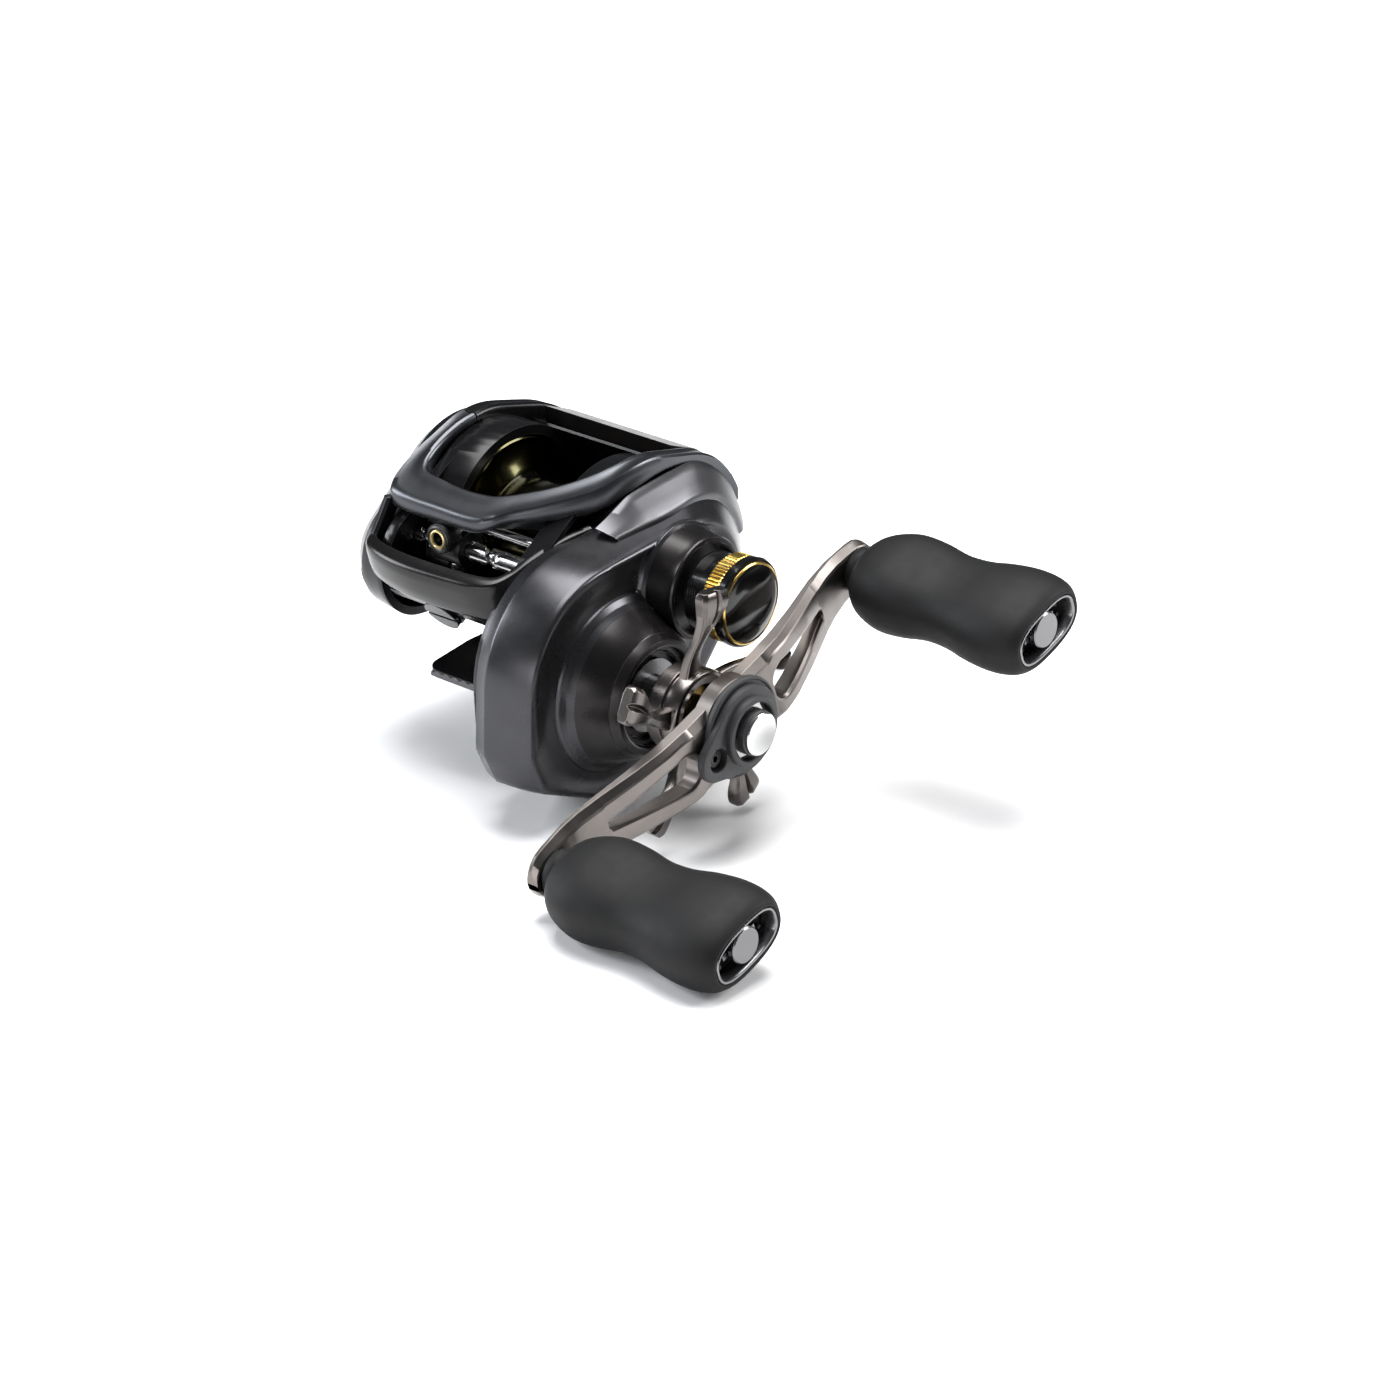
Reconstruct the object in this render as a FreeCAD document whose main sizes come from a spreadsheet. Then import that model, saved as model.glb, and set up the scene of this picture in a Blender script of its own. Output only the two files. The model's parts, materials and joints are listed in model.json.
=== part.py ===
"""Low-profile baitcasting fishing reel, left-hand retrieve, modelled piece by piece.

Frame: +X towards the handle, -Y towards the rod tip, +Z away from the rod.
Origin: centre of the reel foot's underside. Millimetres.
"""
import FreeCAD, Part

import math
import os
import re

import Sketcher

doc = FreeCAD.newDocument("baitcasting_reel")

# ---------------------------------------------------------------- driving dimensions
DIMENSIONS = """
spool_z 20.0            height of the spool axis above the foot
gear_module 0.5         module of every spur gear
tooth_height 0.9        addendum, in modules
pressure_angle 25
main_teeth 78
pinion_teeth 13
shaft_gear_teeth 30
idle_teeth 18
worm_teeth 12
mesh_gap 0.05           extra centre distance that gives the backlash
drive_drop 41.7         angle of the drive axis below the spool axis, towards the front
worm_y -21.0            level-wind worm axis
worm_z 23.7
rod_y -19.0             level-wind guide rod axis
rod_z 28.0

spool_start -11.5
spool_width 23.4
flange_radius 17.3
drum_radius 11.0
rim_width 0.9
drum_slope 1.7
spool_shaft_radius 1.6
spool_shaft_start -22.0
spool_shaft_end 43.9
pin_radius 0.7
pin_reach 3.2
pin_x 14.3

ring_start -17.5
ring_end -9.8
ring_bore 17.7
ring_radius 19.6
wall_start 12.5
wall_end 14.2
rim_end 17.0
rim_thick 1.2
foot_half_width 7.4
foot_front -29.0
foot_rear 33.0
foot_thick 2.8
toe_thick 1.5

case_start 17.0
case_widest 20.0
case_crease 30.0
case_wall 1.6
boss_face 39.5
boss_foot_radius 16.0
boss_top_radius 10.9
boss_recess 9.4
recess_floor 38.0
clutch_radius 7.0
clutch_start 28.5       one-way roller clutch
clutch_width 9.4
collar_face 36.5
collar_radius 9.2
nozzle_radius 5.8
nozzle_bore 4.2
nozzle_end 43.0

palm_start -18.9
palm_shoulder -24.5
palm_edge -27.5
palm_face -29.0
palm_wall 1.5
race_start -22.0        cup that the brake shoes rub on
race_end -13.0
race_bore 11.0
race_radius 12.2
shoe_end -12.4

hood_palm -18.7
hood_gear 20.5
hood_cut 19.8

bearing_gap 0.05        radial clearance of a shaft in its bearing

pinion_start 13.6
pinion_nose_radius 3.9
pinion_groove_start 16.9
pinion_groove_radius 2.75
pinion_teeth_start 18.6
pinion_end 26.0
pinion_bore 1.7

shaft_radius 3.0
shaft_start 11.0
shaft_end 61.0           also the outer face of the handle nut
shaft_gear_start 14.9
train_width 2.0
ratchet_start 17.1
ratchet_width 1.0
main_start 18.5
main_width 4.0
cup_radius 13.5
cup_floor 20.0
washer_radius 13.2
washer_thick 0.8
tube_radius 4.0
tube_start 23.8
tube_end 42.0

star_hub_start 43.2
star_hub_radius 8.2
star_hub_bore 5.6
star_web_start 48.6
star_end 51.9
star_reach 24.0
star_arms 5
star_first_angle 157
star_nut_start 44.4
star_nut_width 3.0

crank_angle 19.4        inclination of the crank from +Y, rear end up
crank_half 45.0
crank_hub_start 54.5
crank_hub_end 58.5
crank_tip_start 49.5
crank_tip_end 52.0
cover_radius 9.7
cover_end 62.3
cover_bore 5.5
cap_radius 4.15
cap_end 64.0
post_radius 2.2
post_end 89.0
knob_start 54.4
knob_end 96.8
knob_bore 3.4

cap_start 37.4
cap_skirt_bore 5.9
cap_barrel_radius 7.6
grip_start 42.0
grip_end 45.0
grip_radius 8.45
cap_rim_radius 8.6
cap_floor 45.2
cast_face 48.0
accent_radius 7.85

worm_radius 1.8
worm_journal 1.25
rod_radius 1.0
guide_x -6.1
guide_ring_y -26.0
guide_ring_z 26.6
guide_ring_radius 2.9
guide_bore 1.35

thumb_start -15.0
thumb_end 16.6
cam_start 15.3
cam_end 16.7
spring_end 23.8
dial_y -15.5
dial_z 14.5
dial_radius 8.5
coin_x -4.7
coin_y -27.0
coin_z 11.9
coin_radius 3.7
coin_tilt 37
"""

sheet = doc.addObject("Spreadsheet::Sheet", "dimensions")


def fill_sheet():
    """Write each dimension's name, value and meaning into one row of the sheet."""
    rows = [line.split(None, 2) for line in DIMENSIONS.splitlines() if line.strip()]
    for number, row in enumerate(rows, start=1):
        sheet.set("A%d" % number, row[0])
        sheet.set("B%d" % number, row[1])
        sheet.setAlias("B%d" % number, row[0])
        if len(row) > 2:
            sheet.set("C%d" % number, row[2])
    doc.recompute()
    return [row[0] for row in rows]


NAMES = fill_sheet()
WORD = re.compile(r"[a-z][a-z_]*")


def size(name):
    """One dimension of the sheet, as a number."""
    return float(sheet.get(name))


def bound(text):
    """A formula over sheet names, written the way setExpression wants it."""
    return WORD.sub(lambda found: "dimensions." + found.group() if found.group() in NAMES
                    else found.group(), str(text))


def value(text):
    """The number that such a formula gives."""
    return float(sheet.evalExpression(bound(text)))


# ---------------------------------------------------------------- axes
def gear_distance(first, second):
    """Centre distance of two meshed gears, given the names of their tooth counts."""
    return size("gear_module") * (size(first) + size(second)) / 2 + size("mesh_gap")


def circles_meet(first, first_reach, second, second_reach, side):
    """The point at the given distances from two centres, on one side of the line between them."""
    gap_y = second[0] - first[0]
    gap_z = second[1] - first[1]
    gap = math.hypot(gap_y, gap_z)
    along = (first_reach ** 2 - second_reach ** 2 + gap ** 2) / (2 * gap)
    off = side * math.sqrt(first_reach ** 2 - along ** 2)
    return (first[0] + (along * gap_y - off * gap_z) / gap,
            first[1] + (along * gap_z + off * gap_y) / gap)


SPOOL = (0.0, size("spool_z"))
DROP = math.radians(size("drive_drop"))
MESH = gear_distance("main_teeth", "pinion_teeth")
DRIVE = (SPOOL[0] - MESH * math.cos(DROP), SPOOL[1] - MESH * math.sin(DROP))
WORM = (size("worm_y"), size("worm_z"))
ROD = (size("rod_y"), size("rod_z"))
IDLE = circles_meet(DRIVE, gear_distance("shaft_gear_teeth", "idle_teeth"),
                    WORM, gear_distance("idle_teeth", "worm_teeth"), 1)
CRANK = math.radians(size("crank_angle"))
REACH = size("crank_half")
KNOB_FRONT = (DRIVE[0] - REACH * math.cos(CRANK), DRIVE[1] - REACH * math.sin(CRANK))
KNOB_REAR = (DRIVE[0] + REACH * math.cos(CRANK), DRIVE[1] + REACH * math.sin(CRANK))
DIAL = (size("dial_y"), size("dial_z"))

PARTS = []


# ---------------------------------------------------------------- shape helpers
def keep(piece, label):
    """Give a finished sub-part its label and put it on the list of parts."""
    piece.Label = label
    PARTS.append(piece)
    return piece


def solid(label, shape):
    """A sub-part whose shape is set directly."""
    piece = doc.addObject("Part::Feature", label)
    piece.Shape = shape
    return keep(piece, label)


def draw_outline(sketch, corners):
    """A closed outline of straight lines; each corner's two coordinates are sheet formulas."""
    points = [FreeCAD.Vector(value(along), value(out), 0) for along, out in corners]
    count = len(points)
    for index, point in enumerate(points):
        sketch.addGeometry(Part.LineSegment(point, points[(index + 1) % count]), False)
    for index in range(count):
        sketch.addConstraint(Sketcher.Constraint("Coincident", index, 2, (index + 1) % count, 1))
    for index, corner in enumerate(corners):
        for kind, axis, text in (("DistanceX", -2, corner[0]), ("DistanceY", -1, corner[1])):
            if abs(value(text)) < 1e-9:
                sketch.addConstraint(Sketcher.Constraint("PointOnObject", index, 1, axis))
                continue
            row = sketch.addConstraint(Sketcher.Constraint(kind, -1, 1, index, 1, value(text)))
            sketch.setExpression("Constraints[%d]" % row, bound(text))


def turned(label, start, centre, corners):
    """A round piece about an axis along X: corners are (distance from start, radius) formulas."""
    body = doc.addObject("PartDesign::Body", label)
    sketch = body.newObject("Sketcher::SketchObject", label + "_outline")
    plane = [face for face in body.Origin.OriginFeatures if face.Role == "XY_Plane"][0]
    sketch.AttachmentSupport = [(plane, "")]
    sketch.MapMode = "FlatFace"
    draw_outline(sketch, corners)
    spin = body.newObject("PartDesign::Revolution", label + "_turned")
    spin.Profile = sketch
    spin.ReferenceAxis = (sketch, ["H_Axis"])
    spin.Angle = 360
    body.setExpression("Placement.Base.x", bound(start))
    body.Placement.Base = FreeCAD.Vector(value(start), centre[0], centre[1])
    return keep(body, label)


def ring(label, start, length, inner, outer, centre):
    """A plain ring or washer about an axis along X."""
    return turned(label, start, centre, [("0", inner), ("0", outer), (length, outer), (length, inner)])


def rod_shape(start, end, radius, centre):
    """A cylinder along X between two places."""
    return Part.makeCylinder(radius, end - start, FreeCAD.Vector(start, centre[0], centre[1]),
                             FreeCAD.Vector(1, 0, 0))


def ring_shape(start, end, inner, outer, centre):
    """A tube along X between two places."""
    return rod_shape(start, end, outer, centre).cut(rod_shape(start - 1, end + 1, inner, centre))


def cone_shape(start, end, start_radius, end_radius, centre):
    """A cone frustum along X between two places."""
    return Part.makeCone(start_radius, end_radius, end - start,
                         FreeCAD.Vector(start, centre[0], centre[1]), FreeCAD.Vector(1, 0, 0))


def side_point(x, y, z):
    return FreeCAD.Vector(x, y, z)


def belt_wire(x, circles):
    """The outline stretched round circles (y, z, radius), listed anticlockwise, in the plane at x."""
    normals = []
    for index, (y, z, radius) in enumerate(circles):
        next_y, next_z, next_radius = circles[(index + 1) % len(circles)]
        gap = math.hypot(next_y - y, next_z - z)
        heading = math.atan2(next_z - z, next_y - y)
        normals.append(heading - math.acos((radius - next_radius) / gap))
    edges = []
    for index, (y, z, radius) in enumerate(circles):
        first = normals[index - 1]
        last = normals[index]
        while last < first:
            last += 2 * math.pi
        while last - first > 2 * math.pi:
            last -= 2 * math.pi
        arc_points = [side_point(x, y + radius * math.cos(turn), z + radius * math.sin(turn))
                      for turn in (first, (first + last) / 2, last)]
        edges.append(Part.Arc(*arc_points).toShape())
        next_y, next_z, next_radius = circles[(index + 1) % len(circles)]
        leave = arc_points[2]
        arrive = side_point(x, next_y + next_radius * math.cos(last), next_z + next_radius * math.sin(last))
        if (arrive - leave).Length > 1e-6:
            edges.append(Part.makeLine(leave, arrive))
    return Part.Wire(edges)


def belt(start, end, circles):
    """A plate along X whose outline is stretched round circles."""
    return Part.Face(belt_wire(start, circles)).extrude(FreeCAD.Vector(end - start, 0, 0))


def belt_loft(sections):
    """A solid through several belt outlines: sections are (x, circles)."""
    return Part.makeLoft([belt_wire(x, circles) for x, circles in sections], True, True)


def shrink(circles, amount):
    """The same circles with every radius reduced."""
    return [(y, z, radius - amount) for y, z, radius in circles]


def side_prism(start, end, corners):
    """A plate along X with a straight-sided outline of (y, z) corners."""
    points = [side_point(start, y, z) for y, z in corners]
    face = Part.Face(Part.makePolygon(points + [points[0]]))
    return face.extrude(FreeCAD.Vector(end - start, 0, 0))


def top_prism(bottom, top, corners):
    """A plate along Z with a straight-sided outline of (x, y) corners."""
    points = [FreeCAD.Vector(x, y, bottom) for x, y in corners]
    face = Part.Face(Part.makePolygon(points + [points[0]]))
    return face.extrude(FreeCAD.Vector(0, 0, top - bottom))


def block(x_range, y_range, z_range):
    """A box between two corners."""
    return Part.makeBox(x_range[1] - x_range[0], y_range[1] - y_range[0], z_range[1] - z_range[0],
                        FreeCAD.Vector(x_range[0], y_range[0], z_range[0]))


def turn_about(shape, centre, angle):
    """Turn a shape about an axis along X, in radians, anticlockwise seen from +X."""
    shape.rotate(FreeCAD.Vector(0, centre[0], centre[1]), FreeCAD.Vector(1, 0, 0), math.degrees(angle))
    return shape


# ---------------------------------------------------------------- gears
def gear_shape(start, width, centre, teeth, tooth_angle, bore):
    """A spur gear with involute flanks; tooth_angle is where one tooth's middle points."""
    module = size("gear_module")
    pitch = module * teeth / 2
    base = pitch * math.cos(math.radians(size("pressure_angle")))
    tip = pitch + size("tooth_height") * module
    root = pitch - 1.2 * module
    half_tooth = math.pi / (2 * teeth) - 0.01 / pitch
    flank_start = max(base, root + 0.02)

    def involute_turn(radius):
        """How far the flank has leaned towards the tooth's middle at this radius."""
        lean = math.acos(min(1.0, base / radius))
        return math.tan(lean) - lean

    def at(radius, turn):
        return side_point(start, centre[0] + radius * math.cos(turn), centre[1] + radius * math.sin(turn))

    edges = []
    spacing = 2 * math.pi / teeth
    radii = [flank_start + (tip - flank_start) * part / 3 for part in range(4)]
    for tooth in range(teeth):
        middle = tooth_angle + tooth * spacing
        offsets = [half_tooth + involute_turn(pitch) - involute_turn(radius) for radius in radii]
        rise = [at(radius, middle - off) for radius, off in zip(radii, offsets)]
        fall = [at(radius, middle + off) for radius, off in zip(radii, offsets)][::-1]
        foot_before = at(root, middle - offsets[0])
        foot_after = at(root, middle + offsets[0])
        next_foot = at(root, middle + spacing - offsets[0])
        edges.append(Part.makeLine(foot_before, rise[0]))
        for flank in (rise, None, fall):
            if flank is None:
                edges.append(Part.Arc(rise[-1], at(tip, middle), fall[0]).toShape())
                continue
            curve = Part.BSplineCurve()
            curve.interpolate(flank)
            edges.append(curve.toShape())
        edges.append(Part.makeLine(fall[-1], foot_after))
        edges.append(Part.Arc(foot_after, at(root, middle + spacing / 2), next_foot).toShape())
    face = Part.Face(Part.Wire(edges))
    body = face.extrude(FreeCAD.Vector(width, 0, 0))
    if bore:
        body = body.cut(rod_shape(start - 1, start + width + 1, bore, centre))
    return body


def heading(first, second):
    return math.atan2(second[1] - first[1], second[0] - first[0])


def meshed_angle(first, first_teeth, first_angle, second, second_teeth):
    """Where a tooth of the second gear points, so that it meshes with the first gear."""
    line = heading(first, second)
    share = (first_angle - line) / (2 * math.pi / first_teeth)
    return line + math.pi + math.pi / second_teeth - share * 2 * math.pi / second_teeth


MAIN_ANGLE = heading(DRIVE, SPOOL)
SHAFT_GEAR_ANGLE = heading(DRIVE, IDLE)
PINION_ANGLE = meshed_angle(DRIVE, int(size("main_teeth")), MAIN_ANGLE, SPOOL, int(size("pinion_teeth")))
IDLE_ANGLE = meshed_angle(DRIVE, int(size("shaft_gear_teeth")), SHAFT_GEAR_ANGLE, IDLE,
                          int(size("idle_teeth")))
WORM_ANGLE = meshed_angle(IDLE, int(size("idle_teeth")), IDLE_ANGLE, WORM, int(size("worm_teeth")))

# ---------------------------------------------------------------- outlines shared by pieces
# Circles (y, z, radius) that the outlines are stretched round, anticlockwise seen from +X.
CASE_WIDEST = [(-17.0, 4.8, 22.8), (11.5, 16.5, 18.2), (-17.4, 6.0, 25.0), (-31.0, -1.5, 11.6)]
CASE_ROOT = shrink(CASE_WIDEST, 0.8)
CASE_CREASE = [(-17.0, 4.8, 22.0), (4.0, 16.0, 14.0), (-17.4, 6.0, 23.9), (-30.0, -1.8, 11.2)]
WALL = [(-17.0, 4.8, 18.0), (0.0, 20.0, 19.6), (-21.0, 23.7, 4.8), (-17.4, 6.0, 20.0),
        (-29.0, -1.0, 8.0)]
PALM = [(-16.4, 16.9, 11.9), (14.0, 17.0, 15.0), (0.0, 22.0, 18.4)]
PALM_NOSE = [(0.0, 20.0, 19.6), (-21.5, 20.5, 8.2)]
HOOD_SIDE = [(-23.6, 31.4, 2.0), (9.0, 19.0, 20.4), (0.5, 20.4, 21.1)]


# ---------------------------------------------------------------- frame and covers
def foot_shape():
    """The reel foot: a flat plate that thins towards both rounded toes."""
    half = size("foot_half_width")
    front = size("foot_front")
    rear = size("foot_rear")
    thick = size("foot_thick")
    tip = size("toe_thick")
    profile = [(front, 0), (rear, 0), (rear, tip), (rear - 14, thick), (front + 12, thick), (front, tip)]
    plate = side_prism(-half, half, profile)
    return plate.makeFillet(3.0, [edge for edge in plate.Edges
                                  if edge.BoundBox.XLength < 1e-6 and edge.BoundBox.YLength < 1e-6])


def spool_floor():
    """The curved floor under the spool that joins the two sides of the frame."""
    shell = ring_shape(size("ring_start"), size("wall_end"), size("ring_bore"), size("ring_radius"), SPOOL)
    kept = side_prism(size("ring_start"), size("wall_end"),
                      [(0, 20), (-22, 8.5), (-22, -10), (24, -10), (24, 15)])
    return shell.common(kept)


def frame_shape():
    """The one-piece frame: palm-side ring, gear-side wall with its rim, floor, front bar and foot."""
    ring_start = size("ring_start")
    wall_start = size("wall_start")
    wall_end = size("wall_end")
    ring_radius = size("ring_radius")
    palm_ring = rod_shape(ring_start, size("ring_end"), ring_radius, SPOOL)
    palm_nose = belt(ring_start, ring_start + 2.2, PALM_NOSE)
    wall = belt(wall_start, wall_end, WALL)
    rim = belt(wall_end, size("rim_end"), WALL)
    rim = rim.cut(belt(wall_end - 1, size("rim_end") + 1, shrink(WALL, size("rim_thick"))))
    rim = rim.cut(block((wall_end, 20), (10, 22), (21, 45)))
    front_bar = side_prism(ring_start + 1, wall_start + 0.5,
                           [(-28.5, 14.6), (-27.0, 13.0), (-18.5, 11.6), (-18.5, 13.6), (-26.6, 15.2)])
    pieces = [palm_nose, wall, rim, front_bar, spool_floor(), foot_shape(), coin_boss()]
    frame = palm_ring.multiFuse(pieces)
    frame = frame.cut(rod_shape(ring_start - 1, size("ring_end") + 1, size("ring_bore"), SPOOL))
    frame = frame.cut(block((-30, 11), (-40, 45), (-30, 0)))
    frame = frame.cut(rod_shape(wall_start - 1, wall_end + 0.1, 6.0, SPOOL))
    frame = frame.cut(rod_shape(wall_start - 1, wall_end + 0.1, 5.0, DRIVE))
    frame = frame.cut(rod_shape(ring_start - 1, wall_end + 0.1, 2.0, WORM))
    frame = frame.cut(coin_hole()).cut(coin_seat())
    posts = [rod_shape(wall_end, 24.0, 1.0, post) for post in yoke_posts()]
    posts.append(rod_shape(wall_end, 17.0, 1.5, IDLE))
    return frame.multiFuse(posts).removeSplitter()


def yoke_posts():
    """The two posts that the clutch yoke slides on, either side of the pinion."""
    away = heading(DRIVE, SPOOL)
    return [(SPOOL[0] + 9.0 * math.cos(away + side * math.pi / 2),
             SPOOL[1] + 9.0 * math.sin(away + side * math.pi / 2)) for side in (-1, 1)]


def coin_axis():
    """Where the side plate's coin screw sits and the direction that its head faces."""
    tilt = math.radians(size("coin_tilt"))
    place = FreeCAD.Vector(size("coin_x"), size("coin_y"), size("coin_z"))
    return place, FreeCAD.Vector(0, -math.cos(tilt), -math.sin(tilt))


def coin_boss():
    """The boss under the front bar that holds the coin screw."""
    place, out = coin_axis()
    return Part.makeCylinder(4.0, 3.4, place - out * 4.6, out)


def coin_hole():
    """The hole that the coin screw's shank runs in."""
    place, out = coin_axis()
    return Part.makeCylinder(1.9, 12.0, place - out * 10.0, out)


def coin_seat():
    """The round seat that the coin screw's head lies in."""
    place, out = coin_axis()
    return Part.makeCylinder(size("coin_radius") + 0.3, 6.0, place - out * 0.95, out)


def coin_screw_shape():
    """Slotted screw that lets go the palm side plate."""
    place, out = coin_axis()
    head = Part.makeCylinder(size("coin_radius"), 1.1, place - out * 0.9, out)
    shank = Part.makeCylinder(1.8, 4.6, place - out * 5.4, out)
    slot = Part.makeBox(9.0, 0.9, 0.8, FreeCAD.Vector(-4.5, -0.45, 0))
    slot.Placement = FreeCAD.Placement(place - out * 0.4, FreeCAD.Rotation(FreeCAD.Vector(0, 0, 1), out))
    return head.fuse(shank).cut(slot)


def hood_shape():
    """The hood: a nose over the level wind and an arm along each side of the thumb opening."""
    start = size("hood_palm")
    end = size("hood_gear")
    hood = belt(start, end, HOOD_SIDE)
    underside = side_prism(start - 1, end + 1, [(-40, -30), (-40, 29.6), (-26.0, 29.6), (-21, 31.8),
                                                (-14, 34.8), (0, 36), (14, 34.8), (22, 28.5), (40, 28.5),
                                                (40, -30)])
    opening = top_prism(20, 60, [(-15.5, 45), (-15.5, -16.4), (-13.0, -18.6), (4.0, -18.6), (10.0, -16.0),
                                 (15.2, -10.8), (17.0, -3.0), (17.0, 45)])
    nose_cut = top_prism(20, 60, [(3.5, -40), (3.5, -25.8), (8.5, -22.4), (12.0, -18.8), (16.0, -15.4),
                                  (22.0, -13.0), (22.0, -40)])
    hood = hood.cut(underside).cut(rod_shape(start - 1, end + 1, size("hood_cut"), SPOOL))
    hood = hood.cut(opening).cut(nose_cut)
    skirt = palm_skirt().cut(rod_shape(start - 1, end, size("hood_cut"), SPOOL))
    hood = hood.fuse(skirt).cut(case_grown())
    return hood.cut(belt(size("ring_start") - 0.1, size("ring_start") + 2.3, shrink(PALM_NOSE, -0.1)))


def palm_skirt():
    """The hood's palm-side cheek, which comes down beside the window to the front lip."""
    return side_prism(size("hood_palm"), size("ring_start") - 0.1,
                      [(-25.6, 30.2), (-29.4, 24.0), (-24.0, 20.0), (-19.5, 30.0), (-16.5, 34.6),
                       (-20, 34.9)])


def front_lip_shape():
    """The lip under the line window, with an arm that climbs to the gear side."""
    bar = side_prism(size("hood_palm") + 0.1, size("wall_start") - 0.2,
                     [(-31.0, 25.2), (-33.0, 24.3), (-32.4, 20.0), (-29.6, 15.4), (-28.8, 16.0),
                      (-30.6, 20.4), (-30.2, 24.2)])
    arm = side_prism(size("wall_start") - 0.2, size("rim_end") - 0.1,
                     [(-32.3, 22.6), (-32.9, 24.2), (-27.6, 28.2), (-21.5, 30.6), (-14.4, 32.4),
                      (-14.4, 30.9), (-21.0, 29.0), (-26.6, 26.4), (-31.4, 22.2)])
    tie = block((size("wall_start") - 2.2, size("rim_end") - 0.1), (-32.6, -31.1), (22.4, 24.4))
    lip = bar.fuse(arm).fuse(tie)
    return lip.cut(belt(size("wall_start") - 0.3, size("rim_end"), shrink(WALL, -0.1)))


def case_outer():
    """The gear case's outer body, without boss and collar."""
    face = size("case_crease")
    return belt_loft([(size("case_start"), CASE_ROOT), (size("case_widest"), CASE_WIDEST),
                      (face, CASE_CREASE)])


def case_inner():
    """The hollow inside the gear case."""
    wall = size("case_wall")
    return belt_loft([(size("case_start") - 0.5, shrink(CASE_ROOT, wall)),
                      (size("case_widest"), shrink(CASE_WIDEST, wall)),
                      (size("case_crease") - wall, shrink(CASE_CREASE, wall + 0.2))])


def gear_case_shape():
    """The gear-side cover: shell, drive boss, raised land and the threaded spout of the cast control."""
    crease = size("case_crease")
    boss = cone_shape(crease - 0.4, size("boss_face"), size("boss_foot_radius") + 0.4,
                      size("boss_top_radius"), DRIVE)
    land = belt_loft([(crease - 1.0, [(DRIVE[0], DRIVE[1], 14.0), (SPOOL[0], SPOOL[1], 10.4)]),
                      (crease + 2.6, [(DRIVE[0], DRIVE[1], 12.0), (SPOOL[0], SPOOL[1], 9.6)])])
    collar = cone_shape(crease - 2, size("collar_face"), 10.4, size("collar_radius"), SPOOL)
    nozzle = rod_shape(size("collar_face") - 1, size("nozzle_end"), size("nozzle_radius"), SPOOL)
    case = case_outer().cut(case_inner())
    case = case.multiFuse([boss, land, collar, nozzle])
    clutch = size("clutch_radius")
    case = case.cut(rod_shape(size("recess_floor"), 50, size("boss_recess"), DRIVE))
    case = case.cut(rod_shape(26.0, size("recess_floor") + 1, clutch, DRIVE))
    case = case.cut(rod_shape(17, crease - 1.6, 17.0, DRIVE))
    case = case.cut(rod_shape(20, 30.0, 7.0, SPOOL))
    case = case.cut(rod_shape(29, 33.4, 5.0, SPOOL))
    case = case.cut(rod_shape(30, 50, size("nozzle_bore"), SPOOL))
    return case.removeSplitter()


def side_strip_shape():
    """The smooth trim strip over the gear case's upper shoulder, widening towards the rear."""
    start = 18.6
    end = 24.8
    strip = case_grown(1.0).common(block((start, end), (-40, 40), (0, 60)))
    strip = strip.common(side_prism(start, end, [(-17.0, 29.0), (-14.0, 40), (34, 40), (34, 12), (26, 12),
                                                 (17.5, 25.0), (10, 30.6), (-2, 30.6)]))
    spool_room = rod_shape(start, size("hood_gear") + 0.1, size("hood_cut") + 0.2, SPOOL)
    under_hood = belt(start - 1, size("hood_gear") + 0.1, shrink(HOOD_SIDE, -0.2))
    return strip.cut(case_grown()).cut(spool_room).cut(under_hood)


def case_grown(amount=0.05):
    """The gear case's outer body, grown all round; a hair by default, for pieces that lie on it."""
    return belt_loft([(size("case_start") - 0.1, shrink(CASE_ROOT, -amount)),
                      (size("case_widest"), shrink(CASE_WIDEST, -amount)),
                      (size("case_crease") + 0.1, shrink(CASE_CREASE, -amount))])


def palm_plate_shape():
    """The domed palm side plate, hollow, with the seat of the spool bearing and brake race."""
    start = size("palm_start")
    wall = size("palm_wall")
    shoulder = size("palm_shoulder")
    face = size("palm_face")
    edge = size("palm_edge")
    outer = belt_loft([(start, PALM), (shoulder, shrink(PALM, 0.8)), (edge, shrink(PALM, 3.4)),
                       (face, shrink(PALM, 7.0))])
    inner = belt_loft([(start + 1, shrink(PALM, wall)), (shoulder, shrink(PALM, wall + 0.9)),
                       (edge, shrink(PALM, wall + 4.4))])
    plate = outer.cut(inner)
    seat = ring_shape(face + 1, start - 0.6, 5.0, 6.4, SPOOL)
    plate = plate.fuse(seat)
    dial_pocket = rod_shape(face - 3, face + 3.4, size("dial_radius") + 0.3, DIAL)
    pocket_floor = rod_shape(face + 3.2, face + 4.6, size("dial_radius") + 1.4, DIAL)
    pocket_floor = pocket_floor.common(outer).cut(rod_shape(face, 0, 5.0, SPOOL))
    plate = plate.cut(dial_pocket).fuse(pocket_floor)
    plate = plate.cut(rod_shape(face - 5, 0, 1.6, DIAL))
    return plate.cut(rod_shape(-26, 0, 5.0, SPOOL)).removeSplitter()


def dial_shape():
    """The brake dial: a ribbed wheel with a short spindle."""
    face = size("palm_face")
    radius = size("dial_radius")
    wheel = rod_shape(face - 0.8, face + 2.9, radius, DIAL)
    spindle = rod_shape(face + 2.9, face + 7.0, 1.5, DIAL)
    dial = wheel.fuse(spindle)
    ribs = 30
    for rib in range(ribs):
        turn = 2 * math.pi * rib / ribs
        place = (DIAL[0] + radius * math.cos(turn), DIAL[1] + radius * math.sin(turn))
        dial = dial.cut(rod_shape(face - 1, face + 3, 0.45, place))
    return dial


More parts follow.
